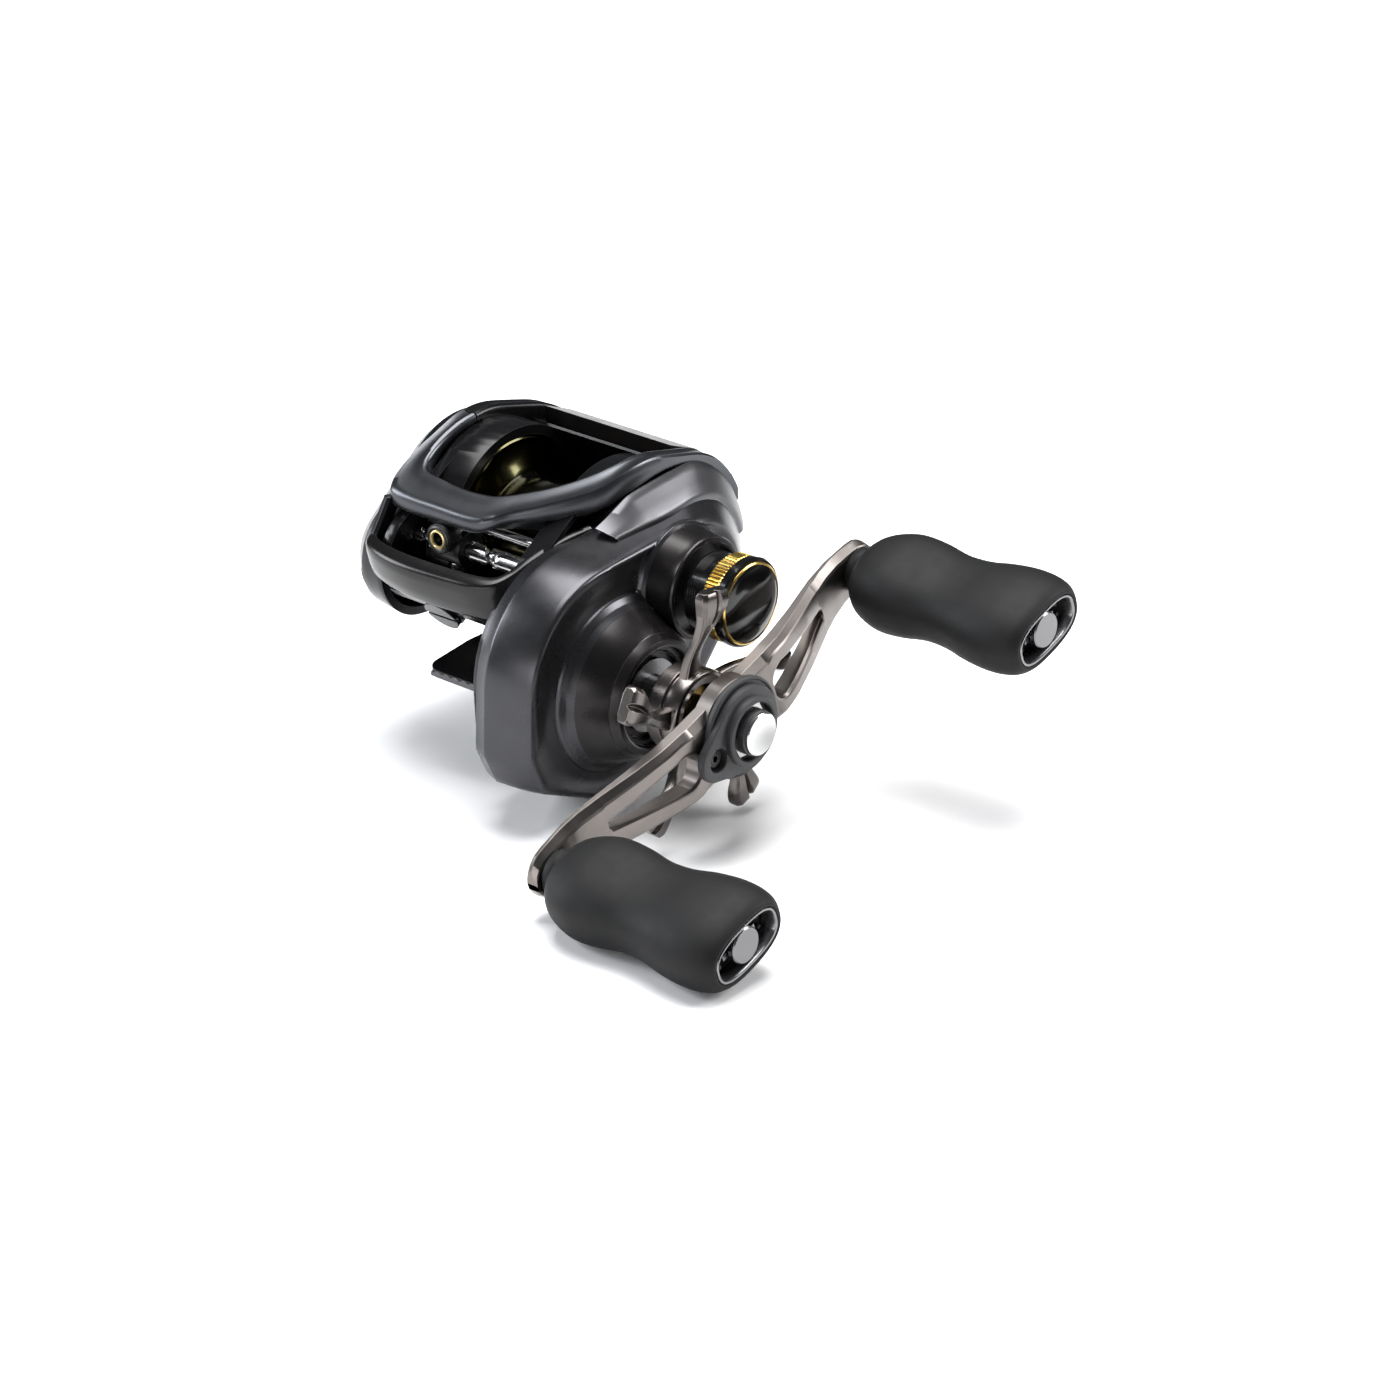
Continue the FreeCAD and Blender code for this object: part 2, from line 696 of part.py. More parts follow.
# ---------------------------------------------------------------- drive train
def main_gear_shape():
    """The main gear: toothed rim, web and the cup that holds the drag washers."""
    start = size("main_start")
    gear = gear_shape(start, size("main_width"), DRIVE, int(size("main_teeth")), MAIN_ANGLE,
                      size("shaft_radius"))
    cup = rod_shape(size("cup_floor"), start + size("main_width") + 1, size("cup_radius"), DRIVE)
    return gear.cut(cup)


def ratchet_shape():
    """Ratchet wheel on the drive shaft, with slanted teeth."""
    start = size("ratchet_start")
    teeth = 12
    corners = []
    for tooth in range(teeth):
        for radius, share in ((6.2, 0.0), (8.6, 0.12)):
            turn = 2 * math.pi * (tooth + share) / teeth
            corners.append((DRIVE[0] + radius * math.cos(turn), DRIVE[1] + radius * math.sin(turn)))
    wheel = side_prism(start, start + size("ratchet_width"), corners)
    return wheel.cut(rod_shape(start - 1, start + 3, size("shaft_radius"), DRIVE))


def pinion_shape():
    """The sliding pinion: slotted nose, yoke groove and a long run of teeth."""
    start = size("pinion_start")
    groove = size("pinion_groove_start")
    teeth_start = size("pinion_teeth_start")
    nose = rod_shape(start, groove, size("pinion_nose_radius"), SPOOL)
    neck = rod_shape(groove, teeth_start, size("pinion_groove_radius"), SPOOL)
    teeth = gear_shape(teeth_start, size("pinion_end") - teeth_start, SPOOL, int(size("pinion_teeth")),
                       PINION_ANGLE, 0)
    pinion = nose.fuse(neck).fuse(teeth)
    slot = block((start - 1, size("pin_x") + size("pin_radius") + 0.1), (-0.85, 0.85), (15, 25))
    bore = rod_shape(start - 1, size("pinion_end") + 1, size("pinion_bore"), SPOOL)
    return pinion.cut(slot).cut(bore)


def yoke_shape():
    """The clutch yoke: a fork in the pinion's groove with an eye on each post."""
    away = heading(DRIVE, SPOOL)
    start = size("pinion_groove_start") + 0.15
    end = size("pinion_teeth_start") - 0.15
    plate = ring_shape(start, end, size("pinion_groove_radius") + 0.2, 5.6, SPOOL)
    for post in yoke_posts():
        plate = plate.fuse(belt(start, end, arm_circles(post, SPOOL, 2.0, 3.4)))
    plate = plate.cut(rod_shape(start - 1, end + 1, size("pinion_groove_radius") + 0.2, SPOOL))
    open_side = block((start - 1, end + 1), (-20, -1.6), (-20, 20))
    open_side.Placement = FreeCAD.Placement(FreeCAD.Vector(0, SPOOL[0], SPOOL[1]),
                                            FreeCAD.Rotation(FreeCAD.Vector(1, 0, 0), math.degrees(away)))
    plate = plate.cut(open_side)
    for post in yoke_posts():
        plate = plate.cut(rod_shape(start - 1, end + 1, 1.05, post))
    return plate


def arm_circles(first, second, first_radius, second_radius):
    """Two circles for a belt between two points."""
    return [(first[0], first[1], first_radius), (second[0], second[1], second_radius)]


def clutch_cam_shape():
    """The clutch cam: a ring round the pinion's nose with the arm that the thumb bar's leg pushes."""
    start = size("cam_start")
    end = size("cam_end")
    arm_end = (SPOOL[0] + 12.4 * math.cos(math.radians(8)), SPOOL[1] + 12.4 * math.sin(math.radians(8)))
    cam = rod_shape(start, end, 7.2, SPOOL).fuse(belt(start, end, arm_circles(arm_end, SPOOL, 1.2, 3.0)))
    return cam.cut(rod_shape(start - 1, end + 1, size("pinion_nose_radius") + 0.3, SPOOL))


def thumb_bar_shape():
    """The clutch bar across the rear of the spool, with a leg down into the gear side."""
    start = size("thumb_start")
    end = size("thumb_end")
    bar = side_prism(start, end, [(13.6, 38.9), (21.0, 35.9), (25.4, 32.6), (26.4, 30.2), (24.8, 29.6),
                                  (20.0, 32.6), (14.0, 35.0)])
    leg = side_prism(size("cam_start"), end, [(14.2, 35.6), (18.6, 34.0), (15.6, 24.2), (13.0, 24.6)])
    return bar.fuse(leg)


def star_shape():
    """The star drag wheel: hub, web and five curved arms with thumb pads."""
    hub = ring_shape(size("star_hub_start"), size("star_web_start") + 1.6, size("star_hub_bore"),
                     size("star_hub_radius"), DRIVE)
    web = rod_shape(size("star_web_start"), size("star_web_start") + 1.6, size("star_hub_radius"), DRIVE)
    star = hub.fuse(web)
    arms = int(size("star_arms"))
    reach = size("star_reach")
    low = size("star_web_start") + 0.3
    for arm in range(arms):
        turn = math.radians(size("star_first_angle") - 360.0 * arm / arms)
        middle = polar(DRIVE, 13.5, turn + 0.16)
        tip = polar(DRIVE, reach - 2.0, turn)
        inner = polar(DRIVE, 5.5, turn + 0.1)
        star = star.fuse(belt(low, size("star_end") - 0.9, arm_circles(inner, middle, 3.2, 2.2)))
        star = star.fuse(belt(low, size("star_end") - 0.4, arm_circles(middle, tip, 2.2, 1.5)))
        pad_ends = (polar(DRIVE, reach - 1.4, turn + 0.10), polar(DRIVE, reach - 2.6, turn - 0.14))
        star = star.fuse(belt(low, size("star_end"), arm_circles(pad_ends[0], pad_ends[1], 1.4, 1.2)))
    return star.cut(rod_shape(40, 60, size("shaft_radius") + 0.3, DRIVE))


def polar(centre, reach, turn):
    """The point at a distance and direction from a centre."""
    return (centre[0] + reach * math.cos(turn), centre[1] + reach * math.sin(turn))


def hexagon(start, end, centre, across, bore):
    """A hexagonal nut with a round hole."""
    corner = across / math.sqrt(3)
    corners = [polar(centre, corner, math.pi * side / 3) for side in range(6)]
    return side_prism(start, end, corners).cut(rod_shape(start - 1, end + 1, bore, centre))


# ---------------------------------------------------------------- crank and knobs
def crank_shape():
    """The swept double crank: each arm has a long window and steps in towards the reel."""
    plan = rod_shape(40, 70, 9.2, DRIVE)
    for side in (-1, 1):
        tip = polar(DRIVE, side * REACH, CRANK)
        knee = polar(DRIVE, side * 13.0, CRANK)
        plan = plan.fuse(belt(40, 70, arm_circles(tip, knee, 5.2, 7.6)))
        window_wide = polar(DRIVE, side * 14.5, CRANK)
        window_tip = polar(DRIVE, side * 31.0, CRANK)
        plan = plan.cut(belt(39, 71, arm_circles(window_tip, window_wide, 0.9, 3.6)))
    hub_start = size("crank_hub_start")
    hub_end = size("crank_hub_end")
    tip_start = size("crank_tip_start")
    tip_end = size("crank_tip_end")
    outer = [(0, hub_end), (13, hub_end), (24, hub_end - 2.4), (36, tip_end + 0.6), (40, tip_end),
             (60, tip_end)]
    inner = [(60, tip_start), (39, tip_start), (33, tip_start + 1.0), (24, tip_start + 3.2),
             (13, hub_start), (0, hub_start)]
    outline = [(-along, x) for along, x in outer[::-1]] + outer[1:]
    outline += inner + [(-along, x) for along, x in inner[::-1][1:]]
    points = [FreeCAD.Vector(x, along, -30) for along, x in outline]
    band = Part.Face(Part.makePolygon(points + [points[0]])).extrude(FreeCAD.Vector(0, 0, 60))
    band.translate(FreeCAD.Vector(0, DRIVE[0], DRIVE[1]))
    turn_about(band, DRIVE, CRANK)
    crank = plan.common(band)
    crank = crank.cut(rod_shape(40, 70, size("shaft_radius"), DRIVE))
    for centre in (KNOB_FRONT, KNOB_REAR):
        crank = crank.cut(rod_shape(40, 60, size("post_radius"), centre))
    return crank.removeSplitter()


def nut_cover_shape():
    """The stacked round cover over the handle nut, with the tab that takes its screw."""
    start = size("crank_hub_end")
    end = size("cover_end")
    radius = size("cover_radius")
    tab_centre = polar(DRIVE, -9.6, CRANK + 0.14)
    cover = rod_shape(start, start + 1.5, radius, DRIVE)
    cover = cover.fuse(rod_shape(start, start + 2.7, radius - 0.9, DRIVE))
    cover = cover.fuse(rod_shape(start, end, radius - 1.9, DRIVE))
    cover = cover.fuse(belt(start, start + 2.4, arm_circles(tab_centre, DRIVE, 4.0, 7.0)))
    cover = cover.cut(rod_shape(start - 1, end + 1, size("cover_bore"), DRIVE))
    return cover.cut(rod_shape(start - 1, end + 1, 1.7, tab_centre))


def cover_screw_shape():
    """The small screw in the nut cover's tab."""
    start = size("crank_hub_end")
    tab_centre = polar(DRIVE, -9.6, CRANK + 0.14)
    screw = rod_shape(start, start + 1.5, 1.65, tab_centre)
    slot = block((start + 0.9, start + 2.0), (tab_centre[0] - 2, tab_centre[0] + 2),
                 (tab_centre[1] - 0.25, tab_centre[1] + 0.25))
    return screw.cut(slot)


def ellipse_wire(x, centre, wide, thick):
    """An ellipse in the plane at x whose long axis lies along the crank."""
    curve = Part.Ellipse(FreeCAD.Vector(x, *polar(centre, wide, CRANK)),
                         FreeCAD.Vector(x, *polar(centre, thick, CRANK + math.pi / 2)),
                         FreeCAD.Vector(x, centre[0], centre[1]))
    return Part.Wire([curve.toShape()])


def knob_shape(centre):
    """A paddle knob with a waist, bored for its post and hollow at the end for the cap."""
    start = size("knob_start")
    end = size("knob_end")
    sections = [(start, 5.0, 4.2), (start + 2.5, 8.6, 6.4), (start + 9, 10.3, 7.3), (start + 19, 9.2, 6.0),
                (start + 30, 11.0, 7.2), (end - 3.5, 11.2, 6.8), (end, 9.6, 5.4)]
    knob = Part.makeLoft([ellipse_wire(x, centre, wide, thick) for x, wide, thick in sections], True)
    knob = knob.cut(rod_shape(start - 1, size("post_end") + 1.2, size("knob_bore"), centre))
    pocket = Part.Face(ellipse_wire(end - 5.0, centre, 8.0, 4.2)).extrude(FreeCAD.Vector(6, 0, 0))
    return knob.cut(pocket)


def knob_cap_shape(centre):
    """The cap in the knob's end: an oval dish with a round disc on a stem and open slots beside it."""
    end = size("knob_end")
    dish = Part.Face(ellipse_wire(end - 4.8, centre, 7.9, 4.1)).extrude(FreeCAD.Vector(4.6, 0, 0))
    hollow = Part.Face(ellipse_wire(end - 3.6, centre, 7.1, 3.4)).extrude(FreeCAD.Vector(5, 0, 0))
    disc = rod_shape(end - 3.6, end - 0.5, 3.3, centre)
    return dish.cut(hollow).fuse(disc)


def pair(make, centres):
    """One node of several equal, separate solids."""
    return Part.makeCompound([make(centre) for centre in centres])


def post_shape(centre):
    """A knob post: rivet head inboard of the crank, shank through the knob and a retaining screw."""
    tip_start = size("crank_tip_start")
    head = rod_shape(tip_start - 0.9, tip_start, 3.4, centre)
    shank = rod_shape(tip_start, size("post_end"), size("post_radius"), centre)
    collar = rod_shape(size("crank_tip_end"), size("knob_start") - 0.3, 3.6, centre)
    screw = rod_shape(size("post_end"), size("post_end") + 0.9, 3.0, centre)
    return head.fuse(shank).fuse(collar).fuse(screw)


def knob_bushings(centre):
    """The two bushings that a knob turns on."""
    inner = size("post_radius") + size("bearing_gap")
    start = size("knob_start")
    return Part.makeCompound([ring_shape(x, x + 3.0, inner, size("knob_bore"), centre)
                              for x in (start + 0.6, size("post_end") - 4.0)])


# ---------------------------------------------------------------- cast control and level wind
def grip_ring_shape():
    """The knurled ring round the cast-control cap."""
    start = size("grip_start")
    end = size("grip_end")
    radius = size("grip_radius")
    grip = ring_shape(start, end, size("cap_barrel_radius"), radius, SPOOL)
    teeth = 48
    for tooth in range(teeth):
        place = polar(SPOOL, radius + 0.1, 2 * math.pi * tooth / teeth)
        grip = grip.cut(rod_shape(start - 1, end + 1, 0.3, place))
    return grip


def line_guide_shape():
    """The level-wind carriage: a block that runs on the worm shaft and the rod and holds the ring."""
    x = size("guide_x")
    ring_y = size("guide_ring_y")
    ring_z = size("guide_ring_z")
    saddle = rod_shape(x - 3.4, x + 3.4, 3.4, WORM)
    eye = Part.makeCylinder(size("guide_ring_radius"), 3.2, FreeCAD.Vector(x, ring_y, ring_z),
                            FreeCAD.Vector(0, 1, 0))
    rider = block((x - 3.0, x + 3.0), (ROD[0] - 1.9, ROD[0] + 1.9), (WORM[1] + 1.5, ROD[1] + 1.8))
    body = saddle.multiFuse([eye, rider])
    passage = Part.makeCylinder(1.7, 12.0, FreeCAD.Vector(x, ring_y - 1, ring_z), FreeCAD.Vector(0, 1, 0))
    body = body.cut(passage).cut(rod_shape(-30, 30, size("worm_radius") + 0.1, WORM))
    body = body.cut(rod_shape(-30, 30, size("rod_radius") + 0.05, ROD))
    pawl_bore = Part.makeCylinder(1.3, 8.0, FreeCAD.Vector(x, WORM[0], WORM[1] - 9.0),
                                  FreeCAD.Vector(0, 0, 1))
    return body.cut(pawl_bore)


def guide_insert_shape():
    """The hard ring that the line runs through."""
    x = size("guide_x")
    y = size("guide_ring_y")
    z = size("guide_ring_z")
    ahead = FreeCAD.Vector(0, 1, 0)
    outer = Part.makeCylinder(2.45, 0.5, FreeCAD.Vector(x, y - 0.5, z), ahead)
    sleeve = Part.makeCylinder(1.7, 1.9, FreeCAD.Vector(x, y, z), ahead)
    hole = Part.makeCylinder(size("guide_bore"), 5.0, FreeCAD.Vector(x, y - 1, z), ahead)
    return outer.fuse(sleeve).cut(hole)


def pawl_shape():
    """The pawl that follows the worm's groove from below."""
    x = size("guide_x")
    top = WORM[1] - size("worm_radius") - 0.05
    return Part.makeCylinder(1.25, 1.5, FreeCAD.Vector(x, WORM[0], top - 1.5), FreeCAD.Vector(0, 0, 1))


def pawl_cap_shape():
    """The cap screw that keeps the pawl in the carriage."""
    x = size("guide_x")
    low = WORM[1] - 3.4
    plug = Part.makeCylinder(1.25, 0.9, FreeCAD.Vector(x, WORM[0], low - 0.85), FreeCAD.Vector(0, 0, 1))
    head = Part.makeCylinder(2.0, 0.8, FreeCAD.Vector(x, WORM[0], low - 1.65), FreeCAD.Vector(0, 0, 1))
    return plug.fuse(head).cut(rod_shape(x - 5, x + 5, 0.2, (WORM[0], low - 1.65)))


# ---------------------------------------------------------------- build every piece
def build_body():
    """Pieces that stay still when the reel is fastened to a rod."""
    solid("frame", frame_shape())
    solid("hood", hood_shape())
    solid("front_lip", front_lip_shape())
    solid("palm_side_plate", palm_plate_shape())
    solid("gear_case", gear_case_shape())
    solid("side_strip", side_strip_shape())
    turned("brake_race", "race_start", SPOOL, [
        ("0", "6.6"), ("0", "race_radius"), ("race_end - race_start", "race_radius"),
        ("race_end - race_start", "race_bore"), ("1", "race_bore"), ("1", "6.6")])
    shaft_bore = "spool_shaft_radius + bearing_gap"
    ring("palm_spool_bearing", "spool_shaft_start + 0.3", "2.4", shaft_bore, "5.0", SPOOL)
    ring("pinion_bearing", "wall_start + 0.1", "2.4", "pinion_nose_radius + bearing_gap", "6.0", SPOOL)
    ring("cap_side_bearing", "case_crease + 0.4", "3.0", shaft_bore, "5.0", SPOOL)
    ring("drive_shaft_bearing", "wall_start", "1.7", "shaft_radius + bearing_gap", "5.0", DRIVE)
    ring("roller_clutch", "clutch_start", "clutch_width", "tube_radius + bearing_gap", "clutch_radius",
         DRIVE)
    bushing_bore = size("worm_journal") + size("bearing_gap")
    bushing_starts = (size("ring_start"), size("wall_start"))
    bushings = [ring_shape(start, start + 1.7, bushing_bore, 2.0, WORM) for start in bushing_starts]
    solid("worm_bushings", Part.makeCompound(bushings))
    ring("guide_rod", "ring_start + 2.2", "wall_start - ring_start - 2.2", "0", "rod_radius", ROD)
    spring_start = size("pinion_teeth_start") + 0.1
    springs = [ring_shape(spring_start, size("spring_end"), 1.1, 1.8, post) for post in yoke_posts()]
    solid("yoke_springs", Part.makeCompound(springs))
    solid("side_plate_screw", coin_screw_shape())


def build_drive():
    """Everything on the drive shaft, out to the handle nut."""
    turned("drive_shaft", "shaft_start", DRIVE, [("0", "0"), ("0", "shaft_radius"),
                                                 ("shaft_end - shaft_start", "shaft_radius"),
                                                 ("shaft_end - shaft_start", "0")])
    shaft_gear = gear_shape(size("shaft_gear_start"), size("train_width"), DRIVE,
                            int(size("shaft_gear_teeth")), SHAFT_GEAR_ANGLE, size("shaft_radius"))
    solid("shaft_gear", shaft_gear)
    solid("ratchet", ratchet_shape())
    solid("main_gear", main_gear_shape())
    floor = size("cup_floor")
    thick = size("washer_thick")
    solid("drag_washers", Part.makeCompound([
        ring_shape(start, start + thick, size("tube_radius") + 0.1, size("washer_radius"), DRIVE)
        for start in (floor, floor + 2 * thick)]))
    ring("drag_metal_washer", "cup_floor + washer_thick", "washer_thick", "shaft_radius", "washer_radius",
         DRIVE)
    ring("drag_pressure_plate", "cup_floor + washer_thick * 3", "1.2", "shaft_radius",
         "washer_radius - 0.4", DRIVE)
    ring("clutch_tube", "tube_start", "tube_end - tube_start", "shaft_radius", "tube_radius", DRIVE)
    ring("drag_spring_washers", "tube_end", "1.0", "shaft_radius", "5.0", DRIVE)
    solid("star_drag", star_shape())
    nut_start = size("star_nut_start")
    solid("star_nut", hexagon(nut_start, nut_start + size("star_nut_width"), DRIVE, 9.6,
                              size("shaft_radius") + 0.05))
    solid("crank", crank_shape())
    solid("handle_nut", hexagon(size("crank_hub_end"), size("shaft_end"), DRIVE, 9.2, size("shaft_radius")))
    solid("nut_cover", nut_cover_shape())
    solid("nut_cover_screw", cover_screw_shape())
    turned("nut_cap", "shaft_end", DRIVE, [
        ("0", "0"), ("0", "cap_radius"), ("cap_end - shaft_end - 0.4", "cap_radius"),
        ("cap_end - shaft_end", "cap_radius - 0.5"), ("cap_end - shaft_end - 0.3", "0")])
    solid("knob_posts", pair(post_shape, (KNOB_FRONT, KNOB_REAR)))
    for end, centre in (("front", KNOB_FRONT), ("rear", KNOB_REAR)):
        solid("knob_" + end, knob_shape(centre))
        solid("knob_cap_" + end, knob_cap_shape(centre))
        solid("knob_bushings_" + end, knob_bushings(centre))


def build_spool():
    """The spool, its shaft and the parts that the clutch moves."""
    turned("spool", "spool_start", SPOOL, [
        ("0", "spool_shaft_radius"), ("0", "flange_radius"), ("rim_width", "flange_radius"),
        ("rim_width + drum_slope", "drum_radius"), ("spool_width - rim_width - drum_slope", "drum_radius"),
        ("spool_width - rim_width", "flange_radius"), ("spool_width", "flange_radius"),
        ("spool_width", "flange_radius - 1.2"), ("spool_width - 2.4", "drum_radius - 1.5"),
        ("spool_width - 2.4", "spool_shaft_radius")])
    turned("spool_shaft", "spool_shaft_start", SPOOL, [
        ("0", "0"), ("0", "spool_shaft_radius"),
        ("spool_shaft_end - spool_shaft_start - 0.6", "spool_shaft_radius"),
        ("spool_shaft_end - spool_shaft_start", "0.6"), ("spool_shaft_end - spool_shaft_start", "0")])
    pin = Part.makeCylinder(size("pin_radius"), 2 * size("pin_reach"),
                            FreeCAD.Vector(size("pin_x"), 0, SPOOL[1] - size("pin_reach")),
                            FreeCAD.Vector(0, 0, 1))
    solid("spool_pin", pin)
    ring("brake_hub", "spool_start - 5", "4.8", "spool_shaft_radius", "5.2", SPOOL)
    shoe_end = size("shoe_end")
    shoes = [block((shoe_end - 4, shoe_end), (-1.3, 1.3), (SPOOL[1] + 5.3, SPOOL[1] + 10.2))
             for quarter in range(4)]
    shoes = [turn_about(shoe, SPOOL, math.pi * quarter / 2) for quarter, shoe in enumerate(shoes)]
    solid("brake_shoes", Part.makeCompound(shoes))
    solid("pinion", pinion_shape())
    solid("clutch_yoke", yoke_shape())
    solid("clutch_cam", clutch_cam_shape())
    solid("thumb_bar", thumb_bar_shape())


def build_controls():
    """Cast control, brake dial and level wind."""
    turned("cast_cap", "cap_start", SPOOL, [
        ("0", "cap_skirt_bore"), ("0", "cap_barrel_radius"), ("grip_end - cap_start", "cap_barrel_radius"),
        ("grip_end - cap_start", "cap_rim_radius"), ("cast_face - cap_start - 1.2", "cap_rim_radius"),
        ("cast_face - cap_start - 0.6", "accent_radius"),
        ("cast_face - cap_start - 0.6", "accent_radius - 0.5"),
        ("cast_face - cap_start - 0.2", "accent_radius - 0.6"), ("cast_face - cap_start", "4.0"),
        ("cast_face - cap_start", "0"), ("cap_floor - cap_start", "0"),
        ("cap_floor - cap_start", "cap_skirt_bore")])
    solid("cast_grip_ring", grip_ring_shape())
    ring("cast_accent_ring", "cast_face - 0.6", "0.35", "accent_radius - 0.5", "accent_radius", SPOOL)
    ring("cast_shims", "cap_floor - 0.9", "0.9", "0", "3.5", SPOOL)
    solid("brake_dial", dial_shape())
    turned("worm_shaft", "ring_start", WORM, [
        ("0", "0"), ("0", "worm_journal"), ("2.6", "worm_journal"), ("2.6", "worm_radius"),
        ("wall_start - ring_start - 0.4", "worm_radius"), ("wall_start - ring_start - 0.4", "worm_journal"),
        ("shaft_gear_start + train_width - ring_start", "worm_journal"),
        ("shaft_gear_start + train_width - ring_start", "0")])
    train = (size("shaft_gear_start"), size("train_width"))
    solid("worm_gear", gear_shape(*train, WORM, int(size("worm_teeth")), WORM_ANGLE, size("worm_journal")))
    solid("idle_gear", gear_shape(*train, IDLE, int(size("idle_teeth")), IDLE_ANGLE, 1.55))
    solid("line_guide", line_guide_shape())
    solid("line_guide_ring", guide_insert_shape())
    solid("pawl", pawl_shape())
    solid("pawl_cap", pawl_cap_shape())


def check_and_export():
    """Stop on any failed object or bad shape, then write one STEP file for each piece."""
    doc.recompute()
    problems = [item.Name for item in doc.Objects if "Invalid" in item.State or "Error" in item.State]
    for piece in PARTS:
        if piece.Shape.isNull() or not piece.Shape.isValid():
            problems.append(piece.Label + " shape")
    if problems:
        raise SystemExit("failed: " + ", ".join(problems))
    os.makedirs("parts", exist_ok=True)
    for piece in PARTS:
        piece.Shape.exportStep("parts/%s.step" % piece.Label)
    print(len(PARTS), "parts written")


build_body()
build_drive()
build_spool()
build_controls()
check_and_export()
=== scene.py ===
"""Looks of the baitcasting reel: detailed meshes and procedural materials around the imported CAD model."""
import json
import math

import bmesh
import bpy
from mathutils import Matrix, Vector


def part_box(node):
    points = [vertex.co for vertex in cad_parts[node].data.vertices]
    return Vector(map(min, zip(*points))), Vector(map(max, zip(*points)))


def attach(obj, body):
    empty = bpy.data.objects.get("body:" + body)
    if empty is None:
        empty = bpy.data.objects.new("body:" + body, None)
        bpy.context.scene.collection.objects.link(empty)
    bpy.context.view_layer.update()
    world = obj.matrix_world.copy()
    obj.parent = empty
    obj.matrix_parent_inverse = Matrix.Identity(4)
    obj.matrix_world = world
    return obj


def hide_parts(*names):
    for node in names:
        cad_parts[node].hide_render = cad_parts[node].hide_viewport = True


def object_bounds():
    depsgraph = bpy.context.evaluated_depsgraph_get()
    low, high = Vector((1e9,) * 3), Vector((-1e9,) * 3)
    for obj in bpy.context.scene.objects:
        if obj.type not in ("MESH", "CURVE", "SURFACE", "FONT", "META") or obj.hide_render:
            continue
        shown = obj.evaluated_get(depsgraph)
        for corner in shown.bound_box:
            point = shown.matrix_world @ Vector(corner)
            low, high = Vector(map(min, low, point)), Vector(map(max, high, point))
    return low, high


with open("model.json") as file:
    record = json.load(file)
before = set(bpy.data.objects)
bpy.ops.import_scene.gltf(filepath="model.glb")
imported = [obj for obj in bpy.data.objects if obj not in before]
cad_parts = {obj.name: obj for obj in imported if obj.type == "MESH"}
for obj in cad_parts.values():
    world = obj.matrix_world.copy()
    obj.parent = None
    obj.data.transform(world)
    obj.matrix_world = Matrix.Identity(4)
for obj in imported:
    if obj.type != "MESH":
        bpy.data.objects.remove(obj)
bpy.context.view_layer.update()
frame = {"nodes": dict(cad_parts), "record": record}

# X runs along the spool toward the crank, Y to the rear and Z up; meshes are made in millimetres
MM = 0.001


# ---------------------------------------------------------------- node materials
# sockets of the colour form of the Mix node
MIX_FACTOR, MIX_FIRST, MIX_SECOND, MIX_RESULT = 0, 6, 7, 2
# how closely the rounded normal follows the true one, where an edge is sharp and where it is flat
SHARP_MATCH, FLAT_MATCH = 0.9, 0.995
BEVEL_SAMPLES = 4


